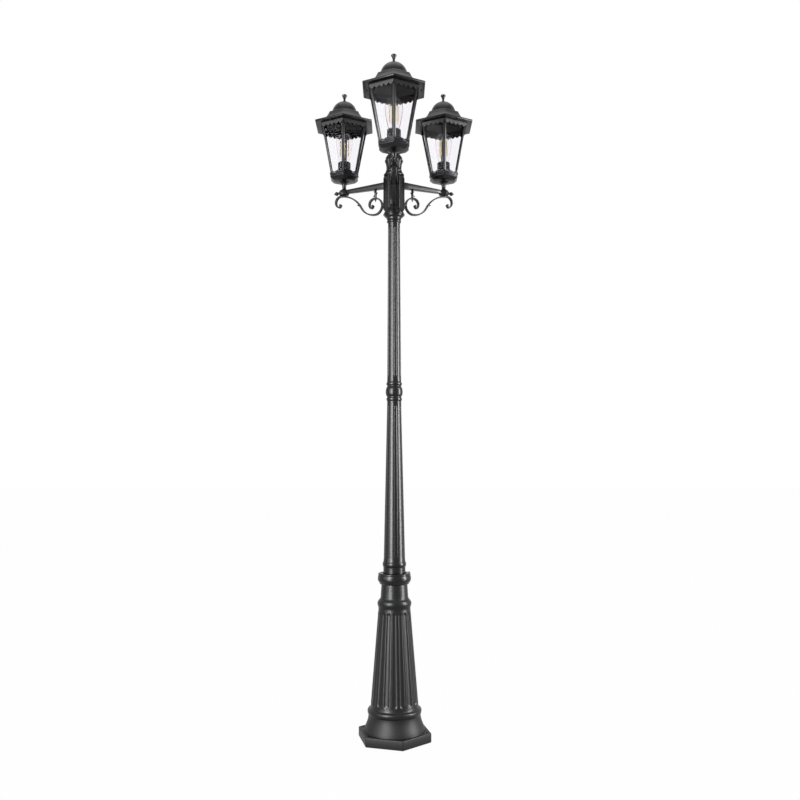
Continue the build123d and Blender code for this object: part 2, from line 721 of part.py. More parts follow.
# ---------------------------------------------------------------- lantern, about its own axis
def gallery():
    """Cast cup under the lantern: a stem, a boss and a six-sided tray."""
    stem = stacked(
        [
            (STEM_R, Z_STEM - STEM_SINK),
            (STEM_R, Z_STEM + STEM_HEIGHT),
            (BOSS_R, Z_TRAY_FOOT - BOSS_HEIGHT / 3),
            (BOSS_R, Z_TRAY_FOOT + 1),
        ]
    )
    tray = prismatoid([(TRAY_FOOT_R, Z_TRAY_FOOT), (TRAY_CORNER_R, Z_TRAY), (TRAY_CORNER_R, Z_CAGE)])
    inner = TRAY_CORNER_R - (TRAY_WALL + CAGE_WALL) / FLAT
    recess = prismatoid([(inner, Z_TRAY_FLOOR), (inner, Z_CAGE + 1)])
    return stem + tray - recess


CAGE_SPREAD = (CAGE_TOP_CORNER_R - TRAY_CORNER_R) * FLAT
CAGE_SLOPE_LENGTH = math.hypot(CAGE_HEIGHT, CAGE_SPREAD)
CAGE_TILT = math.atan2(CAGE_SPREAD, CAGE_HEIGHT)


def side_plane(k, inset=0.0):
    """Plane on the k-th side of the cage: X runs along the side, Y up the slope, Z points out."""
    angle = 360 / SIDES * (k + 0.5)
    out_x, out_y = polar(1, angle)
    normal = Vector(out_x * math.cos(CAGE_TILT), out_y * math.cos(CAGE_TILT), -math.sin(CAGE_TILT))
    foot = Vector(*polar(TRAY_CORNER_R * FLAT, angle), Z_CAGE) - normal * inset
    return Plane(origin=foot, x_dir=(-out_y, out_x, 0), z_dir=normal)


def half_side(along):
    """Half the width of a side of the cage at a distance up its slope."""
    corner = TRAY_CORNER_R + (CAGE_TOP_CORNER_R - TRAY_CORNER_R) * along / CAGE_SLOPE_LENGTH
    return corner / 2


def scalloped(half_width, level, depth, count):
    """Points of a row of pointed scallops from one side to the other."""
    width = 2 * half_width / count
    points = []
    for k in range(count):
        left = -half_width + k * width
        points.append((left, level))
        points.append((left + width / 2, level + depth))
    points.append((half_width, level))
    return points


def window():
    """One side's opening, in the side's own plane, with a crest below and a valance above."""
    low, high = CREST_HEIGHT, CAGE_SLOPE_LENGTH - VALANCE_HEIGHT
    bottom = scalloped(half_side(low) - RIB_WIDTH, low - SCALLOP_DEPTH, SCALLOP_DEPTH, CREST_SCALLOPS)
    top = scalloped(half_side(high) - RIB_WIDTH, high + SCALLOP_DEPTH, -SCALLOP_DEPTH, VALANCE_SCALLOPS)
    return make_face(Polyline(*bottom, *reversed(top), close=True))


def cage():
    """Six-sided frame with one window in each side, cut from a tapering shell."""
    outer = prismatoid([(TRAY_CORNER_R, Z_CAGE), (CAGE_TOP_CORNER_R, Z_ROOF)])
    inset = CAGE_WALL / math.cos(CAGE_TILT) / FLAT
    grow = (CAGE_TOP_CORNER_R - TRAY_CORNER_R) / CAGE_HEIGHT
    inner = prismatoid(
        [(TRAY_CORNER_R - inset - grow, Z_CAGE - 1), (CAGE_TOP_CORNER_R - inset + grow, Z_ROOF + 1)]
    )
    windows = [extrude(side_plane(k) * window(), 2 * CAGE_WALL, both=True) for k in range(SIDES)]
    return outer - inner - windows


def panes():
    """Glass behind each window, with room between neighbours at the corners."""
    low, high = CREST_HEIGHT - SCALLOP_DEPTH - PANE_LAP, CAGE_SLOPE_LENGTH - PANE_LAP
    margin = RIB_WIDTH - PANE_LAP
    corners = [
        (-half_side(low) + margin, low),
        (half_side(low) - margin, low),
        (half_side(high) - margin, high),
        (-half_side(high) + margin, high),
    ]
    pane = make_face(Polyline(*corners, close=True))
    return [extrude(side_plane(k, CAGE_WALL) * pane, -PANE_THICKNESS) for k in range(SIDES)]


def roof():
    """Brim, six-sided bell and round dome in one hollow casting."""
    brim_top = Z_ROOF + BRIM_THICKNESS
    bell = prismatoid(
        [(BRIM_CORNER_R - 1, Z_ROOF), (BRIM_CORNER_R, brim_top)] + raised(BELL_SECTIONS, brim_top)
    )
    arc = [polar(DOME_R, angle) for angle in DOME_ANGLES]
    dome = stacked([(DOME_R, Z_LEDGE - 1)] + raised(arc, Z_LEDGE), DOME_SIDES)
    mouth = CAGE_TOP_CORNER_R - CAGE_WALL / FLAT
    inside = [(r - ROOF_WALL / FLAT, z) for r, z in raised(BELL_SECTIONS, brim_top)]
    inside[-1] = (inside[-1][0], Z_LEDGE - ROOF_WALL)
    bell_hollow = prismatoid([(mouth, Z_ROOF), (mouth, brim_top)] + inside[1:])
    lining_r = DOME_R - ROOF_WALL
    lining = raised([polar(lining_r, angle) for angle in DOME_ANGLES[:-1:2]], Z_LEDGE)
    dome_hollow = stacked([(lining_r, Z_LEDGE - ROOF_WALL - 1)] + lining)
    screw_holes = [
        screw_rod(ROOF_SCREW_R + SNUG, ROOF_SCREW_GRIP, place) for place in roof_screw_places()
    ]
    return bell + dome - bell_hollow - dome_hollow - screw_holes


def roof_screw_places():
    start = Pos(BRIM_CORNER_R * FLAT - ROOF_SCREW_INSET, 0, Z_ROOF)
    return [Rot(0, 0, angle) * start for angle in ROOF_SCREW_ANGLES]


def roof_screws():
    """Screws up into the brim from below."""
    head_height = ROOF_SCREW_R * 1.5
    solids = []
    for place in roof_screw_places():
        shank = screw_rod(ROOF_SCREW_R, ROOF_SCREW_GRIP, place)
        head = screw_rod(ROOF_SCREW_R * 2, head_height, place * Pos(0, 0, -head_height))
        solids.append(shank + head)
    return solids


def finial():
    neck, wide, rise = FINIAL_NECK_R, FINIAL_R, FINIAL_HEIGHT
    return prismatoid(
        [
            (FINIAL_FOOT_R, Z_ROOF_TOP),
            (neck, Z_ROOF_TOP + rise * 0.25),
            (neck, Z_ROOF_TOP + rise * 0.4),
            (wide, Z_ROOF_TOP + rise * 0.76),
            (wide * 0.8, Z_ROOF_TOP + rise * 0.92),
            (wide * 0.3, Z_ROOF_TOP + rise),
        ]
    )


# ---------------------------------------------------------------- lamp holder and bulb


def lamp_holder():
    flange = Z_TRAY_FLOOR + HOLDER_FLANGE_RISE
    flange_top = flange + HOLDER_FLANGE_THICKNESS
    body = stacked(
        [
            (HOLDER_FOOT_R, Z_TRAY_FLOOR),
            (HOLDER_FOOT_R, flange),
            (HOLDER_FLANGE_R, flange),
            (HOLDER_FLANGE_R, flange_top),
            (HOLDER_R, flange_top),
            (HOLDER_R, Z_HOLDER_TOP),
        ]
    )
    socket_r = (BULB_CAP_R + PLAY) / ROUND_FLAT
    return body - stacked([(socket_r, Z_BULB - BULB_CAP_HEIGHT), (socket_r, Z_HOLDER_TOP)])


def bulb_cap():
    return stacked([(BULB_CAP_R, Z_BULB - BULB_CAP_HEIGHT), (BULB_CAP_R, Z_BULB)])


def bulb_glass():
    outside = raised(BULB_SECTIONS, Z_BULB)
    inside = [(r - BULB_GLASS, z) for r, z in outside]
    inside[0] = (inside[0][0], Z_BULB + BULB_GLASS)
    inside[-1] = (inside[-1][0], outside[-1][1] - BULB_GLASS)
    return stacked(outside) - stacked(inside)


def filament_mount():
    """Glass stem with the two crosses that carry the filaments."""
    foot = Z_BULB + BULB_GLASS
    stem = prismatoid([(STEM_FOOT_R, foot), (STEM_FOOT_R / 3, foot + STEM_RISE)])
    mast_height = STEM_RISE + FILAMENT_LENGTH + 2 * FILAMENT_WIDTH
    mast = Pos(0, 0, foot + mast_height / 2) * Box(FILAMENT_WIDTH, FILAMENT_WIDTH, mast_height)
    plates = []
    for level in (foot + STEM_RISE, foot + STEM_RISE + FILAMENT_WIDTH + FILAMENT_LENGTH):
        corner = FILAMENT_CIRCLE_R + FILAMENT_WIDTH
        plates.append(prismatoid([(corner, level), (corner, level + FILAMENT_WIDTH)], 4))
    return stem + mast + plates


def filaments():
    level = Z_BULB + BULB_GLASS + STEM_RISE + FILAMENT_WIDTH
    stick = Pos(FILAMENT_CIRCLE_R, 0, level + FILAMENT_LENGTH / 2) * Box(
        FILAMENT_WIDTH, FILAMENT_WIDTH, FILAMENT_LENGTH
    )
    return around(stick, 4)


# ---------------------------------------------------------------- write the pieces
def write(shape, name):
    solids = shape if isinstance(shape, list) else shape.solids()
    export_step(solids[0] if len(solids) == 1 else Compound(children=list(solids)), f"parts/{name}.step")


def main():
    os.makedirs("parts", exist_ok=True)
    singles = (
        pedestal,
        column_nut,
        collar,
        collar_screw,
        lower_column,
        column_nipple,
        upper_column,
        hub,
        head_lock_screw,
        hub_cap,
    )
    on_each_arm = (arm, scroll, spear)
    on_each_lantern = (
        gallery,
        cage,
        panes,
        roof,
        roof_screws,
        finial,
        lamp_holder,
        bulb_cap,
        bulb_glass,
        filament_mount,
        filaments,
    )
    for make in singles:
        write(make(), make.__name__)
    for make in on_each_arm + on_each_lantern:
        shape = make()
        place = on_arm if make in on_each_arm else at_lantern
        for side, angle in ARM_ANGLES.items():
            placed = [place(s, angle) for s in shape] if isinstance(shape, list) else place(shape, angle)
            write(placed, f"{make.__name__}_{side}")


main()
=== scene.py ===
# %% [markdown]
# # A triple head lamp post
# This script dresses a cast aluminium lamp post. The CAD model gives every place and size;
# here each casting gets its soft edges, its flutes and mouldings, its glass and its finish.
# Sizes are written in millimetres, because that is how a pattern maker would give them,
# and each finished mesh is scaled to Blender's metres once, at the end.

# %% Load the frame
import math

import bmesh
import bpy
from mathutils import Matrix, Vector


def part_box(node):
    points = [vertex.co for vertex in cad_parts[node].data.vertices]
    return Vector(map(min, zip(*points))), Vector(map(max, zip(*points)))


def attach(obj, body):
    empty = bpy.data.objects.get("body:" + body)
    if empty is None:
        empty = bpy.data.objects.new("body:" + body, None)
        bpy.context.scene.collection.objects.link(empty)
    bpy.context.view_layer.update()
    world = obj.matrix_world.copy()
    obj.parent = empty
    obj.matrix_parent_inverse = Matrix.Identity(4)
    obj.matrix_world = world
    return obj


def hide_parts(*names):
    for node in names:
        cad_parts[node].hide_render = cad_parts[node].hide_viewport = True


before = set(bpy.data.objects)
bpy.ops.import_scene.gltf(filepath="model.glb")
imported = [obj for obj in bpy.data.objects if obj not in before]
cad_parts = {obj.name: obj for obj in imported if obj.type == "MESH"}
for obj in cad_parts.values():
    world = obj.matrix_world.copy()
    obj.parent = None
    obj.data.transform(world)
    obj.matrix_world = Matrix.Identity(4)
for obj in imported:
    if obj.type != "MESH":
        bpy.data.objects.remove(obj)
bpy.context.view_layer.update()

# %% [markdown]
# ## Heights from the CAD model
# A post is a stack, and each casting sits on the one below it. So the seats are read off the
# CAD nodes' boxes instead of being typed again, and every outline below counts its heights from
# its own seat. If a casting in the CAD model grows, what stands on it moves up with it.

# %% Read a node's foot or top
MM = 0.001
FOOT, TOP = 0, 1


def height_of(node, end):
    """The height of a CAD node's foot or top, in millimetres to one decimal."""
    return round(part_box(node)[end][2] / MM, 1)


print("the collar reaches from", height_of("collar", FOOT), "to", height_of("collar", TOP), "mm")

# %% [markdown]
# ## Camera
# The photograph was taken from about three metres away, at the height of the post's lower
# half, with the camera tipped up by four degrees. Tipping it makes the uprights lean together
# a little. Lens shift could hide that, but the photograph has it, so the tilt is kept.

# %% Set the camera
PAN, PITCH, ROLL = math.radians(0.388), math.radians(4.136), math.radians(-0.094)
CAMERA_PLACE = (0.0, -3.1229, 0.9788)
camera_data = bpy.data.cameras.new("camera")
camera_data.sensor_width = 36.0
camera_data.lens = 38.66
camera = bpy.data.objects.new("camera", camera_data)
bpy.context.collection.objects.link(camera)
camera.matrix_world = (
    Matrix.Translation(CAMERA_PLACE)
    @ Matrix.Rotation(-PAN, 4, "Z")
    @ Matrix.Rotation(math.pi / 2 + PITCH, 4, "X")
    @ Matrix.Rotation(ROLL, 4, "Z")
)
bpy.context.scene.camera = camera
print("camera height", round(camera.location.z, 3), "m")

# %% [markdown]
# ## Colours and nodes
# Colours are noted as the sRGB hex values a colour picker shows. Blender wants linear light,
# so one function turns them. A material's nodes could be placed by hand in the editor; in a
# script, one function that adds a node with its values and links keeps each finish readable.


# %% Colour and node helpers
def colour(hex_code, alpha=1.0):
    """Turn an sRGB hex value to linear light."""
    channels = [int(hex_code[k : k + 2], 16) / 255 for k in (1, 3, 5)]
    linear = [c / 12.92 if c <= 0.04045 else ((c + 0.055) / 1.055) ** 2.4 for c in channels]
    return (*linear, alpha)


def add_node(tree, kind, values=(), **settings):
    """Add a node. A value that is a socket is linked, and anything else is set."""
    node = tree.nodes.new(kind)
    for name, setting in settings.items():
        setattr(node, name, setting)
    for name, value in dict(values).items():
        if isinstance(value, bpy.types.NodeSocket):
            tree.links.new(value, node.inputs[name])
        else:
            node.inputs[name].default_value = value
    return node


def new_material(name):
    """Start a material, and return it with its node tree and the object's coordinates."""
    material = bpy.data.materials.new(name)
    material.use_nodes = True
    tree = material.node_tree
    tree.nodes.clear()
    place = add_node(tree, "ShaderNodeTexCoord").outputs["Object"]
    return material, tree, place


def finish_material(tree, shader):
    output = add_node(tree, "ShaderNodeOutputMaterial")
    tree.links.new(shader.outputs[0], output.inputs["Surface"])


def scale_for(size):
    """The Scale of a texture whose pattern has this size, in millimetres."""
    return 1 / (size * MM)


print("1.5 mm grain has a texture scale of", round(scale_for(1.5)))

# %% [markdown]
# ## Powder coat
# The castings are aluminium under a baked polyester powder coat. The powder melts into a tough
# skin, a plastic, so it isn't metallic: black in itself, with a satin sheen that spreads lamps
# into soft streaks. A picture could give its texture, but noise on the object's own
# coordinates has no seams and fits every casting. Two bumps carry it: the dimples of orange
# peel, and the slower waves of sand-cast metal below. On the foot, splashes and grit have
# dulled the skirt and the plate, so that coat grows rougher near the ground.

# %% Powder coat
WAVE, DIMPLE, SWELL = 35, 4, 30  # mm; real dimples are 1 to 2 mm wide, and too fine to show
SWELL_RISE = 8  # how many times higher the slow waves of the casting are than the dimples
DULLED = 0.16  # how much rougher the worn coat is
COAT_TONES = ("#08090c", "#0d0e12")


def powder_coat(name, tones, gloss, peel, dull_below=-1.0):
    """gloss is the range of roughness, peel the dimples' height in millimetres, and
    dull_below the height in metres below which the coat is worn."""
    material, tree, place = new_material(name)
    waves = add_node(
        tree, "ShaderNodeTexNoise", {"Vector": place, "Scale": scale_for(WAVE), "Detail": 3.0}
    ).outputs["Fac"]
    tone = add_node(tree, "ShaderNodeMix", {"Factor": waves}, data_type="RGBA")
    tone.inputs["A"].default_value = colour(tones[0])
    tone.inputs["B"].default_value = colour(tones[1])
    sheen = {"Value": waves, "From Min": 0.3, "From Max": 0.7, "To Min": gloss[0], "To Max": gloss[1]}
    spread = add_node(tree, "ShaderNodeMapRange", sheen)
    height = add_node(tree, "ShaderNodeSeparateXYZ", {"Vector": place}).outputs["Z"]
    worn = {"Value": height, "From Min": dull_below - 0.03, "From Max": dull_below + 0.01}
    wear = add_node(tree, "ShaderNodeMapRange", {**worn, "To Min": DULLED, "To Max": 0.0})
    ranges = {0: spread.outputs["Result"], 1: wear.outputs["Result"]}
    roughness = add_node(tree, "ShaderNodeMath", ranges, operation="ADD")
    normal = None
    for size, rise in ((SWELL, peel * SWELL_RISE), (DIMPLE, peel)):
        noise = add_node(
            tree, "ShaderNodeTexNoise", {"Vector": place, "Scale": scale_for(size), "Detail": 0.0}
        )
        relief = {"Height": noise.outputs["Fac"], "Strength": 1.0, "Distance": rise * MM}
        if normal:
            relief["Normal"] = normal
        normal = add_node(tree, "ShaderNodeBump", relief).outputs["Normal"]
    # the usual index is 1.5, but a studio that is white all round would grey a black coat
    skin = {"Base Color": tone.outputs["Result"], "Roughness": roughness.outputs[0], "IOR": 1.31}
    finish_material(tree, add_node(tree, "ShaderNodeBsdfPrincipled", {**skin, "Normal": normal}))
    return material


satin_coat = powder_coat("powder_coated_aluminium", COAT_TONES, (0.29, 0.3), 0.01)
foot_coat = powder_coat("powder_coated_rough_casting", COAT_TONES, (0.345, 0.36), 0.02, dull_below=0.1)
print("powder coats:", satin_coat.name, foot_coat.name)

# %% [markdown]
# ## Metals
# The screws are blackened steel, with a sharper shine than the coat. The nut and the tube
# inside the post are zinc plated, and the bulbs' caps are nickel on brass. A constant roughness
# would look like plastic foil, so a fine noise varies it and lifts the surface a little.


# %% Metals
def metal(name, hex_code, roughness, grain):
    """Metal with a fine grain; grain is its size in millimetres."""
    material, tree, place = new_material(name)
    noise = add_node(
        tree, "ShaderNodeTexNoise", {"Vector": place, "Scale": scale_for(grain), "Detail": 2.0}
    ).outputs["Fac"]
    spread = add_node(
        tree, "ShaderNodeMapRange", {"Value": noise, "To Min": roughness * 0.8, "To Max": roughness * 1.25}
    )
    bump = add_node(tree, "ShaderNodeBump", {"Height": noise, "Strength": 0.2, "Distance": 0.05 * MM})
    plating = {"Base Color": colour(hex_code), "Metallic": 1.0, "Roughness": spread.outputs["Result"]}
    shader = add_node(tree, "ShaderNodeBsdfPrincipled", {**plating, "Normal": bump.outputs["Normal"]})
    finish_material(tree, shader)
    return material


black_steel = metal("blackened_steel", "#2b2d30", 0.32, 1.0)
zinc = metal("zinc_plated_steel", "#b9bcc0", 0.35, 1.5)
nickel = metal("nickel_plated_brass", "#c9c6bd", 0.22, 1.0)
print("metals:", black_steel.name, zinc.name, nickel.name)

# %% [markdown]
# ## Glass
# The panes are float glass and the bulbs are blown glass. Both are clear, so only their edges
# and reflections show, and a slow ripple bends those. A see-through mix would be quicker to
# render, but real transmission gives the bulbs their dark rims. The panes' and the bulbs' index
# is below real glass's 1.5, because a white studio reflects in them from every side.


# %% Glass
def clear_glass(name, tint, index, ripple):
    """Clear glass with a slow ripple; ripple is its height in millimetres."""
    material, tree, place = new_material(name)
    noise = add_node(tree, "ShaderNodeTexNoise", {"Vector": place, "Scale": scale_for(30), "Detail": 0.0})
    relief = {"Height": noise.outputs["Fac"], "Strength": 0.15, "Distance": ripple * MM}
    bump = add_node(tree, "ShaderNodeBump", relief)
    body = {"Base Color": colour(tint), "Roughness": 0.0, "IOR": index, "Transmission Weight": 1.0}
    shader = add_node(tree, "ShaderNodeBsdfPrincipled", {**body, "Normal": bump.outputs["Normal"]})
    finish_material(tree, shader)
    return material


float_glass = clear_glass("float_glass", "#fbfafc", 1.14, 0.05)
blown_glass = clear_glass("blown_soda_glass", "#fdfcfd", 1.3, 0.1)
stem_glass = clear_glass("pressed_stem_glass", "#f4f8f8", 1.5, 0.2)
print("glass:", float_glass.name, blown_glass.name, stem_glass.name)

# %% [markdown]
# ## Plastics
# The lamp holders are moulded phenolic, a hard dark plastic with the faint grain of its mould.
# The filament sticks wear a yellow silicone with phosphor in it, whose skin is as uneven. One
# small bump under an even roughness does for both.


# %% Plastics
def moulded(name, hex_code, roughness):
    """Plastic with a faint uneven grain."""
    material, tree, place = new_material(name)
    noise = add_node(tree, "ShaderNodeTexNoise", {"Vector": place, "Scale": scale_for(1.5), "Detail": 2.0})
    relief = {"Height": noise.outputs["Fac"], "Strength": 0.3, "Distance": 0.04 * MM}
    bump = add_node(tree, "ShaderNodeBump", relief)
    skin = {"Base Color": colour(hex_code), "Roughness": roughness, "Normal": bump.outputs["Normal"]}
    finish_material(tree, add_node(tree, "ShaderNodeBsdfPrincipled", skin))
    return material


phenolic = moulded("phenolic_moulding", "#08080a", 0.45)
phosphor = moulded("phosphor_silicone", "#f7dc8a", 0.55)
print("plastics:", phenolic.name, phosphor.name)

# %% [markdown]
# ## Turning
# Most of the post is round, and its mouldings were cut on a lathe in the pattern shop. Stacked
# cylinders could stand for them, but a lathe's way is simpler and truer: draw half of the
# outline, round its corners, then spin it. Spun in only six steps, the same outline gives a
# hexagonal piece with a corner towards +X.


# %% Spin an outline
def turned(outline, steps=96, close=False, seat=0.0):
    """Spin an outline of (radius, height) or (radius, height, rounding) points about Z.
    Heights count from the seat, and close joins the outline's ends round a hollow."""
    bm = bmesh.new()
    verts = [bm.verts.new((point[0], 0.0, seat + point[1])) for point in outline]
    for pair in zip(verts, verts[1:] + (verts[:1] if close else [])):
        bm.edges.new(pair)
    roundings = {}
    for vert, point in zip(verts, outline):
        if len(point) > 2:
            roundings.setdefault(point[2], []).append(vert)
    for rounding, group in roundings.items():
        bmesh.ops.bevel(
            bm,
            geom=group,
            offset=rounding,
            offset_type="OFFSET",
            segments=4,
            profile=0.5,
            affect="VERTICES",
            material=-1,
        )
    bmesh.ops.spin(
        bm,
        geom=bm.verts[:] + bm.edges[:],
        cent=(0, 0, 0),
        axis=(0, 0, 1),
        angle=2 * math.pi,
        steps=steps,
        use_merge=True,
    )
    bmesh.ops.remove_doubles(bm, verts=bm.verts, dist=0.0005)
    bmesh.ops.recalc_face_normals(bm, faces=bm.faces)
    return bm


washer = turned([(5, 0), (9, 0), (9, 2, 0.5), (5, 2)], steps=6, close=True)
print("a washer spun in 6 steps, with one corner rounded, has", len(washer.verts), "vertices")
washer.free()

# %% [markdown]
# ## From a mesh to a finished piece
# No casting has a knife edge, so sharp edges get a small bevel. A Bevel modifier would do it
# too, but here the parts of one casting need different widths before they are joined. A finished
# piece is scaled to metres, given its finish and told which body of the post it moves with.


# %% Soften, join and finish
def soften(bm, width, angle=25.0, segments=2):
    """Bevel every edge that is sharper than an angle."""
    sharp = [e for e in bm.edges if e.is_manifold and e.calc_face_angle(0.0) > math.radians(angle)]
    bmesh.ops.bevel(
        bm,
        geom=sharp,
        offset=width,
        offset_type="OFFSET",
        segments=segments,
        profile=0.5,
        affect="EDGES",
        clamp_overlap=True,
        material=-1,
    )
    return bm


def joined(*parts):
    """Put several bmeshes into the first."""
    first = parts[0]
    for part in parts[1:]:
        mesh = bpy.data.meshes.new("part")
        part.to_mesh(mesh)
        part.free()
        first.from_mesh(mesh)
        bpy.data.meshes.remove(mesh)
    return first


def moved(bm, matrix):
    bmesh.ops.transform(bm, matrix=matrix, verts=bm.verts)
    return bm


def piece(name, bm, material, slot, body, *nodes, sharp=35.0):
    """Turn a bmesh in millimetres to a finished piece on its body."""
    moved(bm, Matrix.Scale(MM, 4))
    mesh = bpy.data.meshes.new(name)
    bm.to_mesh(mesh)
    bm.free()
    mesh.materials.append(material)
    mesh.shade_smooth()
    mesh.set_sharp_from_angle(angle=math.radians(sharp))
    made = bpy.data.objects.new(name, mesh)
    bpy.context.collection.objects.link(made)
    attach(made, body)
    if nodes:
        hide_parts(*nodes)
    return made


# %% [markdown]
# ## Flutes
# The post is fluted like a stone column. A flute is a hollow with a round section and round
# ends. Cutting each one with a tool body would leave ragged edges on a tapering shaft, so after
# the spin each vertex inside a flute is sunk towards the axis by the depth of that round
# section. The outline needs close points only where the flutes end.


# %% Fluting helpers
def shaft(foot, top, margin, run_out):
    """Outline points of a taper between two (radius, height) ends, close together at its flutes' ends."""
    (foot_r, foot_z), (top_r, top_z) = foot, top
    rises = [margin + run_out * k / 8 for k in range(9)]
    levels = [foot_z + rise for rise in rises] + [top_z - rise for rise in reversed(rises)]
    slope = (top_r - foot_r) / (top_z - foot_z)
    return [(foot_r + slope * (z - foot_z), z) for z in levels]


def flute(bm, foot, top, count, share, depth, first, margin, run_out):
    """Sink the vertices inside the flutes, which take up a share of the way round.
    first is the angle of one flute's middle."""
    for vert in bm.verts:
        rise = min(vert.co.z - foot, top - vert.co.z) - margin
        if rise <= 0:
            continue
        turn = (math.degrees(math.atan2(vert.co.y, vert.co.x)) - first) * count / 360
        across = abs((turn + 0.5) % 1 - 0.5) * 2 / share
        end = max(0.0, 1 - rise / run_out)
        hollow = 1 - across**2 - end**2
        if hollow > 0:
            radius = math.hypot(vert.co.x, vert.co.y)
            scale = (radius - depth * math.sqrt(hollow)) / radius
            vert.co.x *= scale
            vert.co.y *= scale
    return bm


print("a shaft's outline has", len(shaft((85, 0), (57, 346), 10, 13)), "points")

# %% [markdown]
# ## Pedestal
# One casting: a hexagonal plate, a round skirt that sweeps in, a fat torus, the fluted taper, a
# bead and a short neck, all hollow inside. The round part is one spun outline, whose skirt
# follows a Bezier curve as a French curve would draw it, and whose way back down is the
# hollow's wall.


# %% Pedestal
def curve_points(start, handle_1, handle_2, end, count):
    """Points of one Bezier curve in an outline, without its first."""
    corners = [Vector(spot) for spot in (start, handle_1, handle_2, end)]
    points = []
    for k in range(1, count + 1):
        t = k / count
        weights = ((1 - t) ** 3, 3 * t * (1 - t) ** 2, 3 * t * t * (1 - t), t**3)
        points.append(tuple(sum((w * c for w, c in zip(weights, corners)), Vector((0, 0)))))
    return points


PLATE_TOP, TAPER_FOOT, TAPER_TOP = 33.0, 114.0, 460.0
PEDESTAL_TOP = height_of("pedestal", TOP)
SOCKET_R, SOCKET_FOOT = 34.1, 481.0
PEDESTAL_FLUTES = 18
skirt = [(107, 31), (108, PLATE_TOP)] + curve_points((108, PLATE_TOP), (105, 52), (94, 62), (92.5, 88), 10)
torus = [(92.5, 91, 1.5), (94.5, 93, 2), (96.2, 100, 3), (95, 108, 3), (88, 111.5, 2), (86, TAPER_FOOT, 1.5)]
taper = shaft((85, TAPER_FOOT), (57, TAPER_TOP), margin=10, run_out=13)
bead = [(57.2, 458, 1.5), (58, 464, 1.5), (60.5, 470, 3), (61, 479, 3), (57.5, 486, 2), (52.5, 491, 2)]
neck = [(49.5, 497, 2), (46.8, 540, 1), (46.4, PEDESTAL_TOP)]
socket = [(SOCKET_R, PEDESTAL_TOP), (SOCKET_R, SOCKET_FOOT), (49, SOCKET_FOOT)]
hollow = [(49, TAPER_TOP), (78, TAPER_FOOT), (85, 90), (90.3, 61.5), (101, PLATE_TOP)]
pedestal = turned(
    [(101, 31)] + skirt + torus + taper + bead + neck + socket + hollow,
    steps=PEDESTAL_FLUTES * 14,
    close=True,
)
flute(
    pedestal, TAPER_FOOT, TAPER_TOP, PEDESTAL_FLUTES,
    share=0.72, depth=3.4, first=-90, margin=12, run_out=12,
)
print("pedestal:", PEDESTAL_FLUTES, "flutes,", PEDESTAL_TOP, "mm tall")

# %% [markdown]
# ## The pedestal's plate
# The hexagon has a wide opening in the middle and an anchor hole in each corner, and one corner
# stands a little to the right of the front. Its outline and holes are drawn as loops of edges,
# filled in one go and pulled up to the plate's thickness, and its outer rim is rounded off.

# %% Plate
PLATE_R, FIRST_CORNER = 135.6, -77.6
ANCHOR_R, ANCHOR_CIRCLE_R = 5.0, 118.0


def ring(bm, radius, count, centre=(0.0, 0.0), first=0.0):
    """A loop of edges."""
    angles = [math.radians(first + 360 * k / count) for k in range(count)]
    spots = [(centre[0] + radius * math.cos(a), centre[1] + radius * math.sin(a), 0) for a in angles]
    verts = [bm.verts.new(spot) for spot in spots]
    return [bm.edges.new(pair) for pair in zip(verts, verts[1:] + verts[:1])]


plate = bmesh.new()
loops = ring(plate, PLATE_R, 6, first=FIRST_CORNER) + ring(plate, 101, 72)
for k in range(6):
    corner = math.radians(FIRST_CORNER + 60 * k)
    centre = (ANCHOR_CIRCLE_R * math.cos(corner), ANCHOR_CIRCLE_R * math.sin(corner))
    loops += ring(plate, ANCHOR_R, 24, centre)
bmesh.ops.triangle_fill(plate, edges=loops, use_beauty=True)
pulled = bmesh.ops.extrude_face_region(plate, geom=plate.faces[:])
upper_face = [v for v in pulled["geom"] if isinstance(v, bmesh.types.BMVert)]
bmesh.ops.translate(plate, vec=(0, 0, PLATE_TOP), verts=upper_face)
bmesh.ops.recalc_face_normals(plate, faces=plate.faces)
outside_r = ANCHOR_CIRCLE_R + 2 * ANCHOR_R
outside = [e for e in plate.edges if min(v.co.xy.length for v in e.verts) > outside_r]
rim = [e for e in outside if e.calc_face_angle(0) > math.radians(30)]
bmesh.ops.bevel(
    plate, geom=rim, offset=3.2, offset_type="OFFSET", segments=4, profile=0.5, affect="EDGES", material=-1
)
piece("pedestal_casting", joined(pedestal, plate), foot_coat, "black_aluminium", "post", "pedestal")
print("plate: anchor holes on a circle of", 2 * ANCHOR_CIRCLE_R, "mm")

# %% [markdown]
# ## Collar
# A loose ring hides the joint between the pedestal and the column. It is turned like the rest,
# with a wide bore, so that it can slide up the column while the post is put together.

# %% Collar
COLLAR_BORE_R = 43.6
flare_line = [(COLLAR_BORE_R, 0), (50.5, 0, 0.8), (53.5, 3.5, 2.5), (56, 9, 3), (59.3, 13, 2.5), (60, 20, 4)]
rim_line = [(59.4, 28, 2.5), (57.6, 31.5, 1.5), (58.3, 35, 1.5), (58, 38.5, 1.5), (54, 40, 1), (50, 39.2, 1)]
collar = turned(flare_line + rim_line + [(COLLAR_BORE_R, 38.6)], steps=144, close=True, seat=PEDESTAL_TOP)
piece("collar_ring", collar, satin_coat, "black_aluminium", "collar", "collar")
print("collar bore", 2 * COLLAR_BORE_R, "mm")

# %% [markdown]
# ## Screws
# One small set screw goes through the collar's bevelled edge and holds it. Its thread is out of
# sight, so a plain turned shank with a pan head does. A slot cut with a boolean would cost more
# faces than the whole head, so a thin bar across the top of the head stands for it.


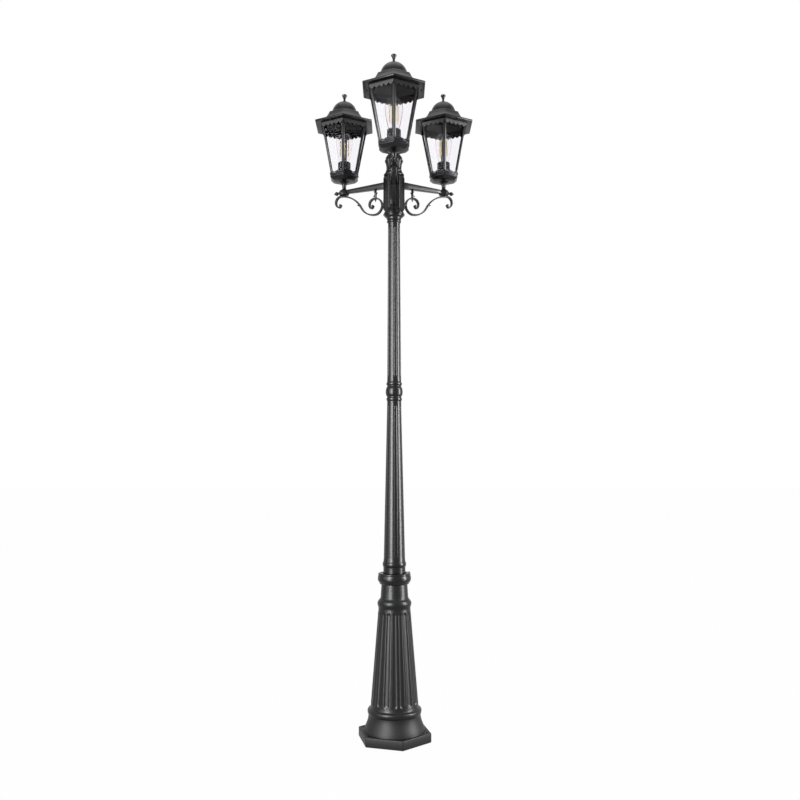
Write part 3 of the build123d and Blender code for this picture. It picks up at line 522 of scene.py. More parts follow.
# %% The collar's screw
def screw(radius, head_radius, head_height, shank):
    """A pan head with a driving slot, standing on the plane z = 0 with its shank below."""
    rim_height, crown_height = head_height * 0.45, head_height * 0.9
    head = turned(
        [(0, -shank), (radius, -shank), (radius, 0), (head_radius, 0), (head_radius, rim_height, 0.6)]
        + [(head_radius * 0.7, crown_height, 0.6), (0, head_height)],
        steps=32,
    )
    slot_bar = bmesh.new()
    bmesh.ops.create_cube(slot_bar, size=1.0)
    bmesh.ops.scale(slot_bar, vec=(1.0, head_radius * 1.3, 0.25), verts=slot_bar.verts)
    bmesh.ops.translate(slot_bar, vec=(0, 0, head_height + 0.02), verts=slot_bar.verts)
    return joined(head, slot_bar)


screw_place = (
    Matrix.Rotation(math.radians(22), 4, "Z")
    @ Matrix.Translation((57, 0, PEDESTAL_TOP + 37))
    @ Matrix.Rotation(math.radians(45), 4, "Y")
)
SET_SCREW_R = 2.0
set_screw = moved(screw(SET_SCREW_R, 4.2, 4.0, 6), screw_place)
piece("collar_set_screw", set_screw, black_steel, "black_screw", "collar", "collar_screw")
print("set screw:", 2 * SET_SCREW_R, "mm")

# %% [markdown]
# ## Lower column
# The lower column stands in the pedestal's socket and ends in a ball between two rings. Both
# columns have six narrow flutes with wide lands between them. The bore for the wiring is part of
# the same spun outline, on its way back down.

# %% Lower column
COLUMN_FLUTES = 6
JOINT = height_of("upper_column", FOOT)
LOWER_SHAFT_FOOT, LOWER_SHAFT_TOP, LOWER_TOP = 79.0, 657.0, JOINT - PEDESTAL_TOP
spigot = [(34, -76), (34, 0), (42.6, 0), (42.6, 3, 1), (40.6, 8, 2), (39.7, 13, 2)]
root = [(39.7, 59, 1), (40.2, 63, 1), (42, 65.5, 2), (42.6, 71, 3), (42, 76.5, 2), (39.6, 79.5, 1.5)]
lower_shaft = shaft((38.5, LOWER_SHAFT_FOOT), (25.6, LOWER_SHAFT_TOP), margin=14, run_out=10)
beads = [(25.7, 656, 0.5), (26.2, 658, 0.5), (28.2, 661, 1.5), (28.2, 668, 1.5), (26, 671, 1)]
ball = [(25.8, 673.5, 0.5), (28.6, 677, 2), (31, 684, 5), (31, 698, 5), (28.6, 706, 2), (25.6, 711)]
wiring_bore = [(25.6, LOWER_TOP), (13.1, LOWER_TOP), (13.1, 668), (16, 647), (16, -76)]
lower = turned(
    spigot + root + lower_shaft + beads + ball + wiring_bore,
    steps=COLUMN_FLUTES * 28,
    close=True,
    seat=PEDESTAL_TOP,
)
flute(
    lower, PEDESTAL_TOP + LOWER_SHAFT_FOOT, PEDESTAL_TOP + LOWER_SHAFT_TOP, COLUMN_FLUTES,
    share=0.34, depth=2.2, first=-80, margin=15, run_out=9,
)
piece("lower_column_casting", lower, satin_coat, "black_aluminium", "post", "lower_column")
print("lower column: top at", JOINT, "mm")

# %% [markdown]
# ## Upper column
# The upper column is slimmer. It stands on the lower one, and a short tube inside draws the two
# together. It carries a small capital, and the spigot above that is what the whole head turns
# on. Spun from one outline, the spigot and the bores are sure to share the column's axis.

# %% Upper column
HEAD_SEAT = height_of("hub", FOOT)
UPPER_SHAFT_FOOT, UPPER_SHAFT_TOP, SEAT = 16.0, 602.0, HEAD_SEAT - JOINT
foot_ring = [(13.1, 0), (25.6, 0), (26.4, 2, 0.6), (28.5, 4, 1.2), (28.5, 10, 1.2)]
cove = [(26.6, 13, 1), (25.8, 15.5, 0.5)]
upper_shaft = shaft((25.4, UPPER_SHAFT_FOOT), (22.1, UPPER_SHAFT_TOP), margin=14, run_out=10)
necking = [(22.2, 601.5, 0.5), (22.8, 604, 0.5), (26, 606.5, 1.2), (26.4, 611, 1.5), (24.4, 613.5, 0.8)]
capital = [(24.4, 614.5, 0.5), (26.6, 617, 1.2), (26.8, 620.5, 1.2), (27.4, 623, 1), (33.8, 627.5, 1.5)]
rest_for_head = [(34.5, 630, 1), (34.5, SEAT, 0.6)]
head_pin = [(16, SEAT), (16, SEAT + 70), (8, SEAT + 70), (8, 45), (13.1, 45)]
upper = turned(
    foot_ring + cove + upper_shaft + necking + capital + rest_for_head + head_pin,
    steps=COLUMN_FLUTES * 28,
    close=True,
    seat=JOINT,
)
flute(
    upper, JOINT + UPPER_SHAFT_FOOT, JOINT + UPPER_SHAFT_TOP, COLUMN_FLUTES,
    share=0.36, depth=2.0, first=-80, margin=15, run_out=9,
)
piece("upper_column_casting", upper, satin_coat, "black_aluminium", "post", "upper_column")
print("upper column: head seat at", HEAD_SEAT, "mm")

# %% [markdown]
# ## Hub
# The hub is one casting with a round lip and waist, a hexagonal barrel whose flats carry the
# arms, and a round shoulder. Each stretch is turned with its own number of steps, and the three
# are joined where they overlap, inside the metal.

# %% Hub
HUB_BORE_R, TOP_BORE_R = 16.05, 8
HUB_TOP = height_of("hub", TOP)
lip = [(HUB_BORE_R, 0), (39, 0, 0.8), (40, 2.5, 1.2), (39, 5, 1), (36.4, 7, 1), (36.4, 9.5, 1)]
waist = turned(
    lip + [(34.5, 14, 3), (33, 20, 1), (33, 25), (HUB_BORE_R, 25)], steps=96, close=True, seat=HEAD_SEAT
)
barrel_side = [(33.8, 17), (37, 19, 1.5), (39.8, 23.5, 2), (39.8, 142.5, 2), (37, 147.5, 1.5), (33.8, 150)]
barrel_bore = [(TOP_BORE_R, 150), (TOP_BORE_R, 71), (HUB_BORE_R, 71)]
barrel = turned([(HUB_BORE_R, 17)] + barrel_side + barrel_bore, steps=6, close=True, seat=HEAD_SEAT)
soften(barrel, 1.4, angle=30, segments=3)
shoulder_side = [(36, 147, 0.5), (38, 149.5, 1), (38, 153, 1.2), (36.5, 155.5, 1), (34, 159, 1.5)]
shoulder = turned(
    [(TOP_BORE_R, 147)] + shoulder_side + [(TOP_BORE_R, 159)], steps=96, close=True, seat=HEAD_SEAT
)
piece("hub_casting", joined(waist, barrel, shoulder), satin_coat, "black_aluminium", "head", "hub")
print("hub:", HUB_TOP - HEAD_SEAT, "mm tall")

# %% [markdown]
# ## The hub's cap
# A separate cap closes the hub: a neck, a flared band and a crown with a small knob, with ten
# long leaves cast round it. Modelling each leaf would take many faces that the photograph
# doesn't resolve, so the turned cap just swells and shrinks ten times on its way round.

# %% Cap
LEAVES, LEAF_SWELL = 10, 0.07
LEAF_FOOT, LEAF_TIP = 12.0, 78.0
FOOT_FADE, TIP_FADE = 8.0, 12.0
MEAN_WAVE = 0.6  # the leaves swell out from it and shrink in, so the cap keeps its size
band = [(0, 0), (26, 0), (28.5, 2.5, 1), (30.5, 5, 1.2), (30.5, 9, 1.2), (28, 11.5, 1)]
cap_neck = [(27.6, 14), (27.4, 20), (27.6, 26), (28.2, 31), (29.2, 36), (30.6, 39), (31, 41.5)]
flare = [(33, 44, 1), (33, 49, 1.5), (31, 51.5)]
crown = curve_points((31, 51.5), (30.5, 65), (20, 76), (6, 78.5), 12)
knob = [(4.2, 80.5, 0.8), (4.4, 82, 0.5), (7.6, 84, 1.5), (8, 88, 2), (5, 92, 2), (0, 93)]
cap = turned(band + cap_neck + flare + crown + knob, steps=LEAVES * 12, seat=HUB_TOP)
for vert in cap.verts:
    rise = vert.co.z - HUB_TOP
    from_foot, from_tip = (rise - LEAF_FOOT) / FOOT_FADE, (LEAF_TIP - rise) / TIP_FADE
    share = min(1.0, max(0.0, from_foot)) * min(1.0, max(0.0, from_tip))
    wave = abs(math.cos(LEAVES / 2 * math.atan2(vert.co.y, vert.co.x)))
    swell = 1 + LEAF_SWELL * share * (wave - MEAN_WAVE)
    vert.co.x *= swell
    vert.co.y *= swell
piece("hub_cap_turned", cap, satin_coat, "black_aluminium", "head", "hub_cap")
print("cap:", LEAVES, "leaves")

# %% [markdown]
# ## Working on three arms
# The three arms and lanterns are the same castings, 120 degrees apart. Linked copies would keep
# their place and turn on the object, and here each piece's place is in its mesh, as it is in the
# CAD nodes. So everything that repeats is made along +X once for each arm, and its points are
# turned into place.

# %% Placing on the arms
ARMS = {"front": -90.0, "right": 30.0, "left": 150.0}
gallery_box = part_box("gallery_front")
REACH = round(-(gallery_box[0][1] + gallery_box[1][1]) / 2 / MM, 1)


def on_arms(name, make, material, slot, body, node, lantern=False, sharp=35.0):
    """Make a piece for each arm. A lantern's piece is made about its own axis, out at the arm's end."""
    for side, angle in ARMS.items():
        place = Matrix.Rotation(math.radians(angle), 4, "Z")
        if lantern:
            place = place @ Matrix.Translation((REACH, 0, 0))
        bm = moved(make(), place)
        piece(f"{name}_{side}", bm, material, slot, body.format(side), f"{node}_{side}", sharp=sharp)
    print(name, "made for", len(ARMS), "arms")


print("lanterns stand", REACH, "mm out")

# %% [markdown]
# ## Arms
# Each arm is a cast bar with a flat top that narrows and thins towards its end block, a small
# hexagonal boss that takes the lantern's stem. A cube whose end faces are set to the root's and
# the tip's section gives the bar, because its taper is straight.

# %% Arm
BOSS_CORNER, BOSS_FLAT, BOSS_RISE, STEM_HOLE_R = 19.0, 16.45, 2.0, 9.2
ARM_TOP = height_of("arm_front", TOP) - BOSS_RISE
ARM_ROOT = {"out": 34.3, "width": 27.0, "depth": 20.5}
ARM_TIP = {"out": 206.0, "width": 15.0, "depth": 14.0}


def arm():
    bar = bmesh.new()
    bmesh.ops.create_cube(bar, size=1.0)
    for vert in bar.verts:
        section = ARM_ROOT if vert.co.x < 0 else ARM_TIP
        drop = 0.0 if vert.co.z > 0 else section["depth"]
        vert.co = (section["out"], math.copysign(section["width"] / 2, vert.co.y), ARM_TOP - drop)
    lengthwise = [e for e in bar.edges if abs(e.verts[0].co.x - e.verts[1].co.x) > 1]
    bmesh.ops.subdivide_edges(bar, edges=lengthwise, cuts=6, use_grid_fill=True)
    soften(bar, 1.8, angle=60, segments=3)
    side = [(17, -19.5), (BOSS_CORNER, -17), (BOSS_CORNER, -2), (17.6, 1), (13, BOSS_RISE)]
    outline = [(STEM_HOLE_R, -19.5)] + side + [(STEM_HOLE_R, BOSS_RISE)]
    boss = turned(outline, steps=6, close=True, seat=ARM_TOP)
    moved(boss, Matrix.Rotation(math.radians(30), 4, "Z"))
    soften(boss, 1.1, angle=30, segments=2)
    return joined(bar, moved(boss, Matrix.Translation((REACH, 0, 0))))


on_arms("arm_bar", arm, satin_coat, "black_aluminium", "head", "arm")

# %% [markdown]
# ## Spears
# A small turned spear ends each arm. It is spun upright like any turned piece and then laid
# along the arm, with its foot inside the end block.


# %% Spear
def spear():
    foot = [(0, -4), (4.5, -4), (4.5, 1, 0.8), (6.5, 3.5, 1.2), (6.5, 5, 1.2), (4, 8, 1), (3.4, 10, 0.5)]
    blade = [(5.5, 12.5, 1.5), (8.2, 17.5, 2.5), (6, 23, 3), (2, 28.5, 0.8), (0, 30)]
    tip_middle = (REACH + BOSS_FLAT, 0, ARM_TOP - ARM_TIP["depth"] / 2)
    place = Matrix.Translation(tip_middle) @ Matrix.Rotation(math.pi / 2, 4, "Y")
    return moved(turned(foot + blade, steps=32), place)


on_arms("arm_spear", spear, satin_coat, "black_aluminium", "head", "spear")

# %% [markdown]
# ## The scroll's bar
# A smith bends one flat bar into curl, ring, long S and outer curl. A curve object with a bevel
# could follow a drawn line, but a line drawn by hand wavers where two bends meet. Spinning a
# rectangle about the middle of each bend in turn can't: the last face of one bend starts the
# next, so every bend leaves the one before it at its own angle, just as bent bar does.

# %% Bent bar
SCROLL_START = (91.1, ARM_TOP - 79.9)
SCROLL_HEADING = -102.4
SCROLL_BENDS = (  # radius in mm and turn in degrees
    (6.2, 158), (20.7, 107), (31.3, 197), (68, 62.2),
    (103, -26.4), (122, -30.7), (21.7, -158), (6.35, -131.6),
)


def left_of(heading):
    """The direction to the left of a heading in the scroll's own upright plane."""
    return Vector((-math.sin(math.radians(heading)), 0, math.cos(math.radians(heading))))


def bent_bar(thickness, width):
    """The bar, and the point where it ends."""
    bm = bmesh.new()
    heading = SCROLL_HEADING
    middle = Vector((SCROLL_START[0], 0, SCROLL_START[1]))
    across, side = left_of(heading) * thickness / 2, Vector((0, width / 2, 0))
    corners = [middle + across * a + side * b for a, b in ((-1, -1), (-1, 1), (1, 1), (1, -1))]
    face = bm.faces.new([bm.verts.new(corner) for corner in corners])
    geometry = [face] + face.edges[:] + face.verts[:]
    for radius, turn in SCROLL_BENDS:
        centre = middle + left_of(heading) * math.copysign(radius, turn)
        spun = bmesh.ops.spin(
            bm,
            geom=geometry,
            cent=centre,
            axis=(0, -1, 0),
            angle=math.radians(turn),
            steps=max(3, round(abs(turn) / 6)),
        )
        geometry = spun["geom_last"]
        middle = centre + Matrix.Rotation(math.radians(-turn), 3, "Y") @ (middle - centre)
        heading += turn
    bmesh.ops.remove_doubles(bm, verts=bm.verts, dist=0.001)
    inside = [f for f in bm.faces if all(len(e.link_faces) > 2 for e in f.edges)]
    bmesh.ops.delete(bm, geom=inside, context="FACES_ONLY")
    bmesh.ops.recalc_face_normals(bm, faces=bm.faces)
    return bm, middle


print("scroll: a bar with", len(SCROLL_BENDS), "bends")

# %% [markdown]
# ## The scroll's ends, leaves and fixings
# Each curl ends in a round eye. Small pointed leaves stand on the bar, a hanger ties the ring to
# the arm, and a bracket plate sits on the hub. A leaf is a sphere that is pinched towards its
# tip, which is rounder than a cone and simpler than a drawn leaf.

# %% Leaf, eye and block
LEAF_HALF_THICKNESS = 3.8
LEAF_PINCH, LEAF_SUNK = 0.75, 0.12  # how much thinner its tip is, and the share inside the bar


def leaf(base, heading, length, width=8.0):
    """A pointed leaf that stands on the bar; base is (out, up) and heading is in degrees."""
    bm = bmesh.new()
    bmesh.ops.create_uvsphere(bm, u_segments=16, v_segments=10, radius=1.0)
    for vert in bm.verts:
        along = (vert.co.z + 1) / 2
        pinch = 1 - LEAF_PINCH * along**2
        thick, wide = vert.co.x * LEAF_HALF_THICKNESS * pinch, vert.co.y * width / 2 * pinch
        vert.co = (thick, wide, length * (along - LEAF_SUNK))
    lay = Matrix.Rotation(math.radians(90 - heading), 4, "Y") @ Matrix.Rotation(math.pi / 2, 4, "Z")
    return moved(bm, Matrix.Translation((base[0], 0, base[1])) @ lay)


def eye(spot, radius, width):
    """The round lump that ends a curl."""
    half = width / 2
    bm = turned([(0, -half), (radius, -half, 1.2), (radius, half, 1.2), (0, half)], steps=24)
    return moved(bm, Matrix.Translation((spot[0], 0, spot[1])) @ Matrix.Rotation(math.pi / 2, 4, "X"))


def block(low, high, width, rounding):
    """A softened block between two (out, up) corners, with the heights below the arm's top."""
    bm = bmesh.new()
    bmesh.ops.create_cube(bm, size=1.0)
    bmesh.ops.scale(bm, vec=(high[0] - low[0], width, high[1] - low[1]), verts=bm.verts)
    centre = ((low[0] + high[0]) / 2, 0, ARM_TOP + (low[1] + high[1]) / 2)
    bmesh.ops.translate(bm, vec=centre, verts=bm.verts)
    return soften(bm, rounding, angle=50, segments=2)


print("leaf, eye and block ready")

# %% [markdown]
# ## The whole scroll
# The photograph shows six leaves: one at the hanger's foot, three up the hanger, and a pair on
# the long S. They are listed by where they stand, how they point and how long they are, because
# each differs from the next.

# %% Scroll
HANGER_AT, LEAF_AT = 79.5, 150
LEAF_PLACES = (  # out, below the arm's top, heading and length
    (HANGER_AT, 52, -90, 17),
    (HANGER_AT, 40, -20, 14),
    (HANGER_AT, 36, 150, 12),
    (HANGER_AT, 27, 10, 11),
    (LEAF_AT, 69, 20, 15),
    (LEAF_AT, 69, 200, 11),
)


def scroll():
    bar, end = bent_bar(thickness=5.4, width=11.4)
    soften(bar, 1.5, angle=50, segments=3)
    eyes = [eye(SCROLL_START, 4.3, 12.6), eye((end.x, end.z), 4.3, 12.6)]
    hanger = block((HANGER_AT - 3.1, -53), (HANGER_AT + 3.1, -18.6), 9, 1.4)
    plate = block((34.47, -96.5), (39.2, -66.5), 26, 1.2)
    tie = block((38, -86), (52, -77), 11, 1.2)
    leaves = [leaf((out, ARM_TOP - drop), heading, length) for out, drop, heading, length in LEAF_PLACES]
    return joined(bar, *eyes, hanger, plate, tie, *leaves)


on_arms("scroll_bar", scroll, satin_coat, "black_aluminium", "head", "scroll")

# %% [markdown]
# ## Galleries
# The gallery is the cast cup under each lantern: a trumpet-shaped stem and a six-sided tray
# with a bowl below and a moulded edge above. Stem and tray are both turned, the tray in six
# steps, and joined where they meet inside the metal.


# %% Gallery
def gallery():
    stem_foot = [(0, -10), (8.9, -10), (8.9, 2.5, 0.5), (7.4, 5, 1.5), (7.4, 14, 1)]
    trumpet = [(8.6, 21), (11, 26), (14, 29), (19, 31.6), (24, 33.4, 0.6), (24, 37), (0, 37)]
    bowl = [(0, 33), (24, 33), (42, 34.4), (48, 37), (53, 41), (57, 45.2), (59.6, 46.6), (59.6, 50)]
    edge = [(56.4, 51.6), (56.4, 54.6), (58.2, 56), (58.2, 58), (57.4, 59), (49, 59), (49, 46), (0, 46)]
    tray = soften(turned(bowl + edge, steps=6, seat=ARM_TOP), 1.0, angle=30, segments=3)
    return joined(turned(stem_foot + trumpet, steps=64, seat=ARM_TOP), tray)


on_arms("gallery_cup", gallery, satin_coat, "black_aluminium", "head", "gallery", lantern=True)

# %% [markdown]
# ## A leaning side of the cage
# Each side of a cage leans outwards. Working out its points in space would be hard to follow, so
# its ornaments are drawn flat, with x along the side and y up its slope, and one matrix then
# leans them into place.

# %% The cage's sides
CAGE_FOOT, CAGE_TOP = height_of("cage_front", FOOT), height_of("cage_front", TOP)
FOOT_CORNER, TOP_CORNER = 58.2, 98.0
FLAT = math.cos(math.pi / 6)  # a hexagon's flat is this much nearer than its corner
FLARE = (TOP_CORNER - FOOT_CORNER) * FLAT
LEAN = math.atan2(FLARE, CAGE_TOP - CAGE_FOOT)
SLOPE = math.hypot(FLARE, CAGE_TOP - CAGE_FOOT)


def side_place(k, inset):
    """Matrix from a side's own plane (x along it, y up its slope, z out) to the lantern."""
    out = Matrix.Rotation(math.radians(60 * k + 30), 4, "Z")
    shift = Matrix.Translation((FOOT_CORNER * FLAT, 0, CAGE_FOOT))
    upright = Matrix(((0, 0, 1, 0), (1, 0, 0, 0), (0, 1, 0, 0), (0, 0, 0, 1)))
    lean = Matrix.Rotation(LEAN, 4, "Y")
    return out @ shift @ lean @ upright @ Matrix.Translation((0, 0, -inset))


def half_width(up):
    return (FOOT_CORNER + (TOP_CORNER - FOOT_CORNER) * up / SLOPE) / 2


print("cage sides lean", round(math.degrees(LEAN), 1), "degrees")

# %% [markdown]
# ## Crest and valance
# A low crest of small lobes stands on the tray, and a deeper scalloped valance hangs from the
# top, like lace along a blind. Cutting each scallop out would need a tool body for each lobe.
# Instead, both bands begin as a flat grid whose free edge is pushed into lobes, and solidify
# gives them the casting's thickness.

# %% Lobed band
CREST_LOBES, VALANCE_LOBES = 3, 5
BAND_END = 1.2  # mm between a band's end and the corner, which the rib covers


def lobed_band(edge, rise, lobes, depth, thickness):
    """A band from a straight edge at height edge to a lobed edge at rise beyond it."""
    bm = bmesh.new()
    bmesh.ops.create_grid(bm, x_segments=lobes * 10, y_segments=3, size=1.0)
    for vert in bm.verts:
        along, up = (vert.co.x + 1) / 2, (vert.co.y + 1) / 2
        wave = abs(math.sin(math.pi * lobes * along)) ** 0.7
        height = edge + math.copysign((abs(rise) + depth * wave) * up, rise)
        vert.co = ((2 * along - 1) * (half_width(height) - BAND_END), height, 0.0)
    bmesh.ops.recalc_face_normals(bm, faces=bm.faces)
    if bm.faces[:][0].normal.z < 0:
        bmesh.ops.reverse_faces(bm, faces=bm.faces)
    bmesh.ops.solidify(bm, geom=bm.faces[:], thickness=thickness)
    return bm


print("each side has", CREST_LOBES, "lobes below and", VALANCE_LOBES, "above")

# %% [markdown]
# ## Ribs
# A rib runs up each corner, folded a little along its middle so that the corner's ridge shows.
# A cube is set to the rib's foot and top, cut once along its middle with bisect, and the cut's
# points are pulled out to the corner.

# %% Rib
# how far a face spreads along the cage's sides, and how far in from the corner it and its ridge are
OUTER = {"spread": 7.4, "back": 1.0, "ridge": 0.2}
INNER = {"spread": 6.4, "back": 5.0, "ridge": 6.2}
BETWEEN = 6.5  # mm in from the corner, halfway between the two faces


def rib(k):
    """One corner of the cage."""
    bm = bmesh.new()
    bmesh.ops.create_cube(bm, size=1.0)
    for vert in bm.verts:
        corner, height = (TOP_CORNER, CAGE_TOP) if vert.co.z > 0 else (FOOT_CORNER, CAGE_FOOT)
        face = OUTER if vert.co.x > 0 else INNER
        across = math.copysign(face["spread"] * FLAT, vert.co.y)
        vert.co = (corner - face["back"] - face["spread"] / 2, across, height)
    whole = bm.verts[:] + bm.edges[:] + bm.faces[:]
    cut = bmesh.ops.bisect_plane(bm, geom=whole, plane_co=(0, 0, 0), plane_no=(0, 1, 0), dist=0.001)
    for vert in (element for element in cut["geom_cut"] if isinstance(element, bmesh.types.BMVert)):
        corner = TOP_CORNER if vert.co.z > (CAGE_FOOT + CAGE_TOP) / 2 else FOOT_CORNER
        face = OUTER if vert.co.x > corner - BETWEEN else INNER
        vert.co.x = corner - face["ridge"]
    bmesh.ops.recalc_face_normals(bm, faces=bm.faces)
    soften(bm, 0.8, angle=25, segments=2)
    return moved(bm, Matrix.Rotation(math.radians(60 * k), 4, "Z"))


print("ribs run from", CAGE_FOOT, "to", CAGE_TOP, "mm")

# %% [markdown]
# ## The whole cage
# A cage is one casting of six ribs, a crest and a valance on each side, and a rail that closes
# it under its roof. The parts run into each other, so they are joined as they are, and the
# valance hangs just inside the ribs' outer faces.

# %% Cage
BAND_INSET = 0.4
RAIL_LINE = [(93, -7.5), (97.6, -7.5), (99, -6), (99.6, -0.2), (93, -0.2)]


def cage():
    parts = [rib(k) for k in range(6)]
    for k in range(6):
        crest = lobed_band(0.3, 2.0, CREST_LOBES, depth=3.6, thickness=-3.4)
        valance = lobed_band(SLOPE - 0.2, -7.5, VALANCE_LOBES, depth=8.5, thickness=-3.0)
        parts += [moved(band, side_place(k, BAND_INSET)) for band in (crest, valance)]
    rail = turned(RAIL_LINE, steps=6, close=True, seat=CAGE_TOP)
    return joined(*parts, soften(rail, 1.2, angle=30, segments=3))


on_arms("cage_frame", cage, satin_coat, "black_aluminium", "head", "cage", lantern=True)

# %% [markdown]
# ## Roofs
# Brim and bell have six sides, with a ridge running up each corner, and the dome above the ledge
# is round. They are one hollow casting, so the camera sees the coated inside from below. A
# solid would do from above only; here each outline runs up the outside and back down the lining.

# %% Roof
ROOF_FOOT = height_of("roof_front", FOOT)
BRIM_CORNER, BRIM_INSIDE = 124.0, 93.4
LEDGE, DOME_R, WALL = ROOF_FOOT + 53, 48.0, 4.0
DOME_LINING = 0.93  # how big the dome's inside is beside its outside


def bell():
    brim = [(BRIM_INSIDE, 0), (122.4, 0), (BRIM_CORNER, 1.6), (BRIM_CORNER, 6.4), (122.4, 8), (113, 9.6)]
    sweep = curve_points((100, 12), (84, 16), (72, 32), (64.5, 49), 12)
    ledge = [(63.2, 51.6), (60.5, 53), (46, 53), (46, 49.5)]
    lining = [(r - WALL, z) for r, z in reversed(sweep)] + [(BRIM_INSIDE, 9)]
    outline = brim + [(100, 12)] + sweep + ledge + lining
    return soften(turned(outline, steps=6, close=True, seat=ROOF_FOOT), 0.8, angle=30, segments=2)


def dome():
    foot = [(44.6, -3), (50.5, -1.4), (50.5, 1.4, 0.8), (48.4, 2.6, 0.5)]
    arc = [math.radians(4 + 4 * k) for k in range(20)]
    outside = [(DOME_R * math.cos(a), DOME_R * math.sin(a)) for a in arc]
    inside = [(r * DOME_LINING, z * DOME_LINING) for r, z in reversed(outside)]
    crown = [(0.0, 47.4), (0.0, 44)]
    return turned(foot + outside + crown + inside, steps=96, close=True, seat=LEDGE)


def roof():
    return joined(bell(), dome())


on_arms("roof_casting", roof, satin_coat, "black_aluminium", "roof_{}", "roof", lantern=True)

# %% [markdown]
# ## Finials and roof screws
# A turned knob on a thin neck stands on each dome. Two screws go up into the brim and keep the
# roof from lifting. They could be made again in their place, but they are the same pan heads as
# the collar's, so its function makes them and a half turn puts them upside down.


# %% Finial and screws
def finial():
    base = [(0, -2.5), (10.6, -2.5), (10.6, -0.4, 0.8), (7.2, 1.6, 1), (4.6, 5, 2), (3.9, 9, 2)]
    bead = [(4.2, 12.4, 0.8), (5.8, 13.6, 0.6), (5.8, 15, 0.6), (4.9, 16, 0.4), (7.4, 20, 2)]
    knob = [(9.5, 23.6, 1.5), (9.8, 26.6, 1.2), (7.4, 29.4, 1), (0, 30.3)]
    return turned(base + bead + knob, steps=48, seat=LEDGE + DOME_R)


def roof_screws():
    parts = []
    for angle in (-90, 90):
        place = (
            Matrix.Rotation(math.radians(angle), 4, "Z")
            @ Matrix.Translation((BRIM_CORNER * FLAT - 11, 0, ROOF_FOOT))
            @ Matrix.Rotation(math.pi, 4, "X")
        )
        parts.append(moved(screw(2, 4, 3, 6), place))
    return joined(*parts)


on_arms("finial_knob", finial, satin_coat, "black_aluminium", "roof_{}", "finial", lantern=True)
on_arms("roof_pan_screws", roof_screws, black_steel, "black_screw", "roof_{}", "roof_screws", lantern=True)

# %% [markdown]
# ## Lamp holders and caps
# A black holder with a broad flange stands in each tray, and the bulb's threaded cap is screwed
# into it. A real thread is a helix, but hidden in the holder its section is enough: the outline
# goes in and out by the thread's depth and is spun like the rest.

# %% Holder and cap
HOLDER_FOOT = height_of("lamp_holder_front", FOOT)
CAP_FOOT = height_of("bulb_cap_front", FOOT)
THREAD_PITCH = 2.6


def lamp_holder():
    base = [(0, 0), (15, 0), (15, 23, 1), (18, 26, 1.5), (31, 27.4, 0.8), (32, 29.5, 0.8), (31, 32, 1)]
    sleeve = [(26, 33.5, 1.5), (24, 37, 1), (24, 62.2, 1.6), (23, 64, 0.8), (14.6, 64, 0.8)]
    inside = [(13.9, 61), (13.9, 41), (0, 41)]
    return turned(base + sleeve + inside, steps=64, seat=HOLDER_FOOT)


def bulb_cap():
    thread = []
    for k in range(8):
        thread += [(13.0, 2.5 + THREAD_PITCH * k), (12.2, 3.8 + THREAD_PITCH * k)]
    return turned([(0, 0), (5, 0), (12.0, 1.5)] + thread + [(13.1, 23.4), (0, 24)], steps=48, seat=CAP_FOOT)


on_arms("holder_moulding", lamp_holder, phenolic, "black_phenolic", "head", "lamp_holder", lantern=True)
on_arms("bulb_screw_cap", bulb_cap, nickel, "nickel_cap", "bulb_{}", "bulb_cap", lantern=True)

# %% [markdown]
# ## Bulbs
# The glass is a thin pear-shaped bubble, blown into a mould. As one solid it would bend light
# like a lens, so it is two shells: the outer one, and an inner one whose faces point into the
# hollow, because they are the glass's other surface.

# %% Bulb glass
GLASS_FOOT = height_of("bulb_glass_front", FOOT)
GLASS_WALL = 0.8


def bulb_glass():
    outside = (
        curve_points((14.6, 0.4), (17, 1.5), (20, 6), (21.4, 12), 6)
        + curve_points((21.4, 12), (25, 32), (31.5, 56), (31.9, 79), 12)
        + curve_points((31.9, 79), (32, 98), (20, 114.6), (0, 114.8), 16)
    )
    inside = [(max(r - GLASS_WALL, 0.0), min(max(z, 1.2), 114.0)) for r, z in outside]
    shell = turned([(0, 0.2), (14.6, 0.4)] + outside, steps=64, seat=GLASS_FOOT)
    hollow = turned([(0, 1.2), (13.8, 1.2)] + inside, steps=64, seat=GLASS_FOOT)
    bmesh.ops.reverse_faces(hollow, faces=hollow.faces)
    return joined(shell, hollow)


on_arms("bulb_shell", bulb_glass, blown_glass, "bulb_glass", "bulb_{}", "bulb_glass", lantern=True, sharp=60)

# %% [markdown]
# ## Filaments
# Inside, a pressed glass stem carries a thin mast with a cross of wire at each end, and four
# yellow sticks stand between the crosses. Each stick is a strip of tiny chips under a phosphor
# coat, which at this size reads as one smooth rod with a wire at either end.

# %% Filaments and their mount
FILAMENT_R, FILAMENT_TURN = 15.5, 25.0
LOWER_CROSS, UPPER_CROSS = 22.4, 88.4


def filament_mount():
    stem_line = [(0, 1.6), (6, 1.6), (5.4, 4), (3.4, 10, 2), (2.6, 18), (2.8, 21.4, 0.6), (0, 22)]
    mast_line = [(0, 21), (0.45, 21), (0.45, 89), (0, 89.2)]
    reach = FILAMENT_R + 0.6
    parts = [turned(stem_line, steps=24, seat=GLASS_FOOT), turned(mast_line, steps=10, seat=GLASS_FOOT)]
    for level in (LOWER_CROSS, UPPER_CROSS):
        for angle in (FILAMENT_TURN, FILAMENT_TURN + 90):
            wire = turned([(0, -reach), (0.4, -reach), (0.4, reach), (0, reach)], steps=10)
            place = (
                Matrix.Translation((0, 0, GLASS_FOOT + level))
                @ Matrix.Rotation(math.radians(angle), 4, "Z")
                @ Matrix.Rotation(math.pi / 2, 4, "Y")
            )
            parts.append(moved(wire, place))
    return joined(*parts)


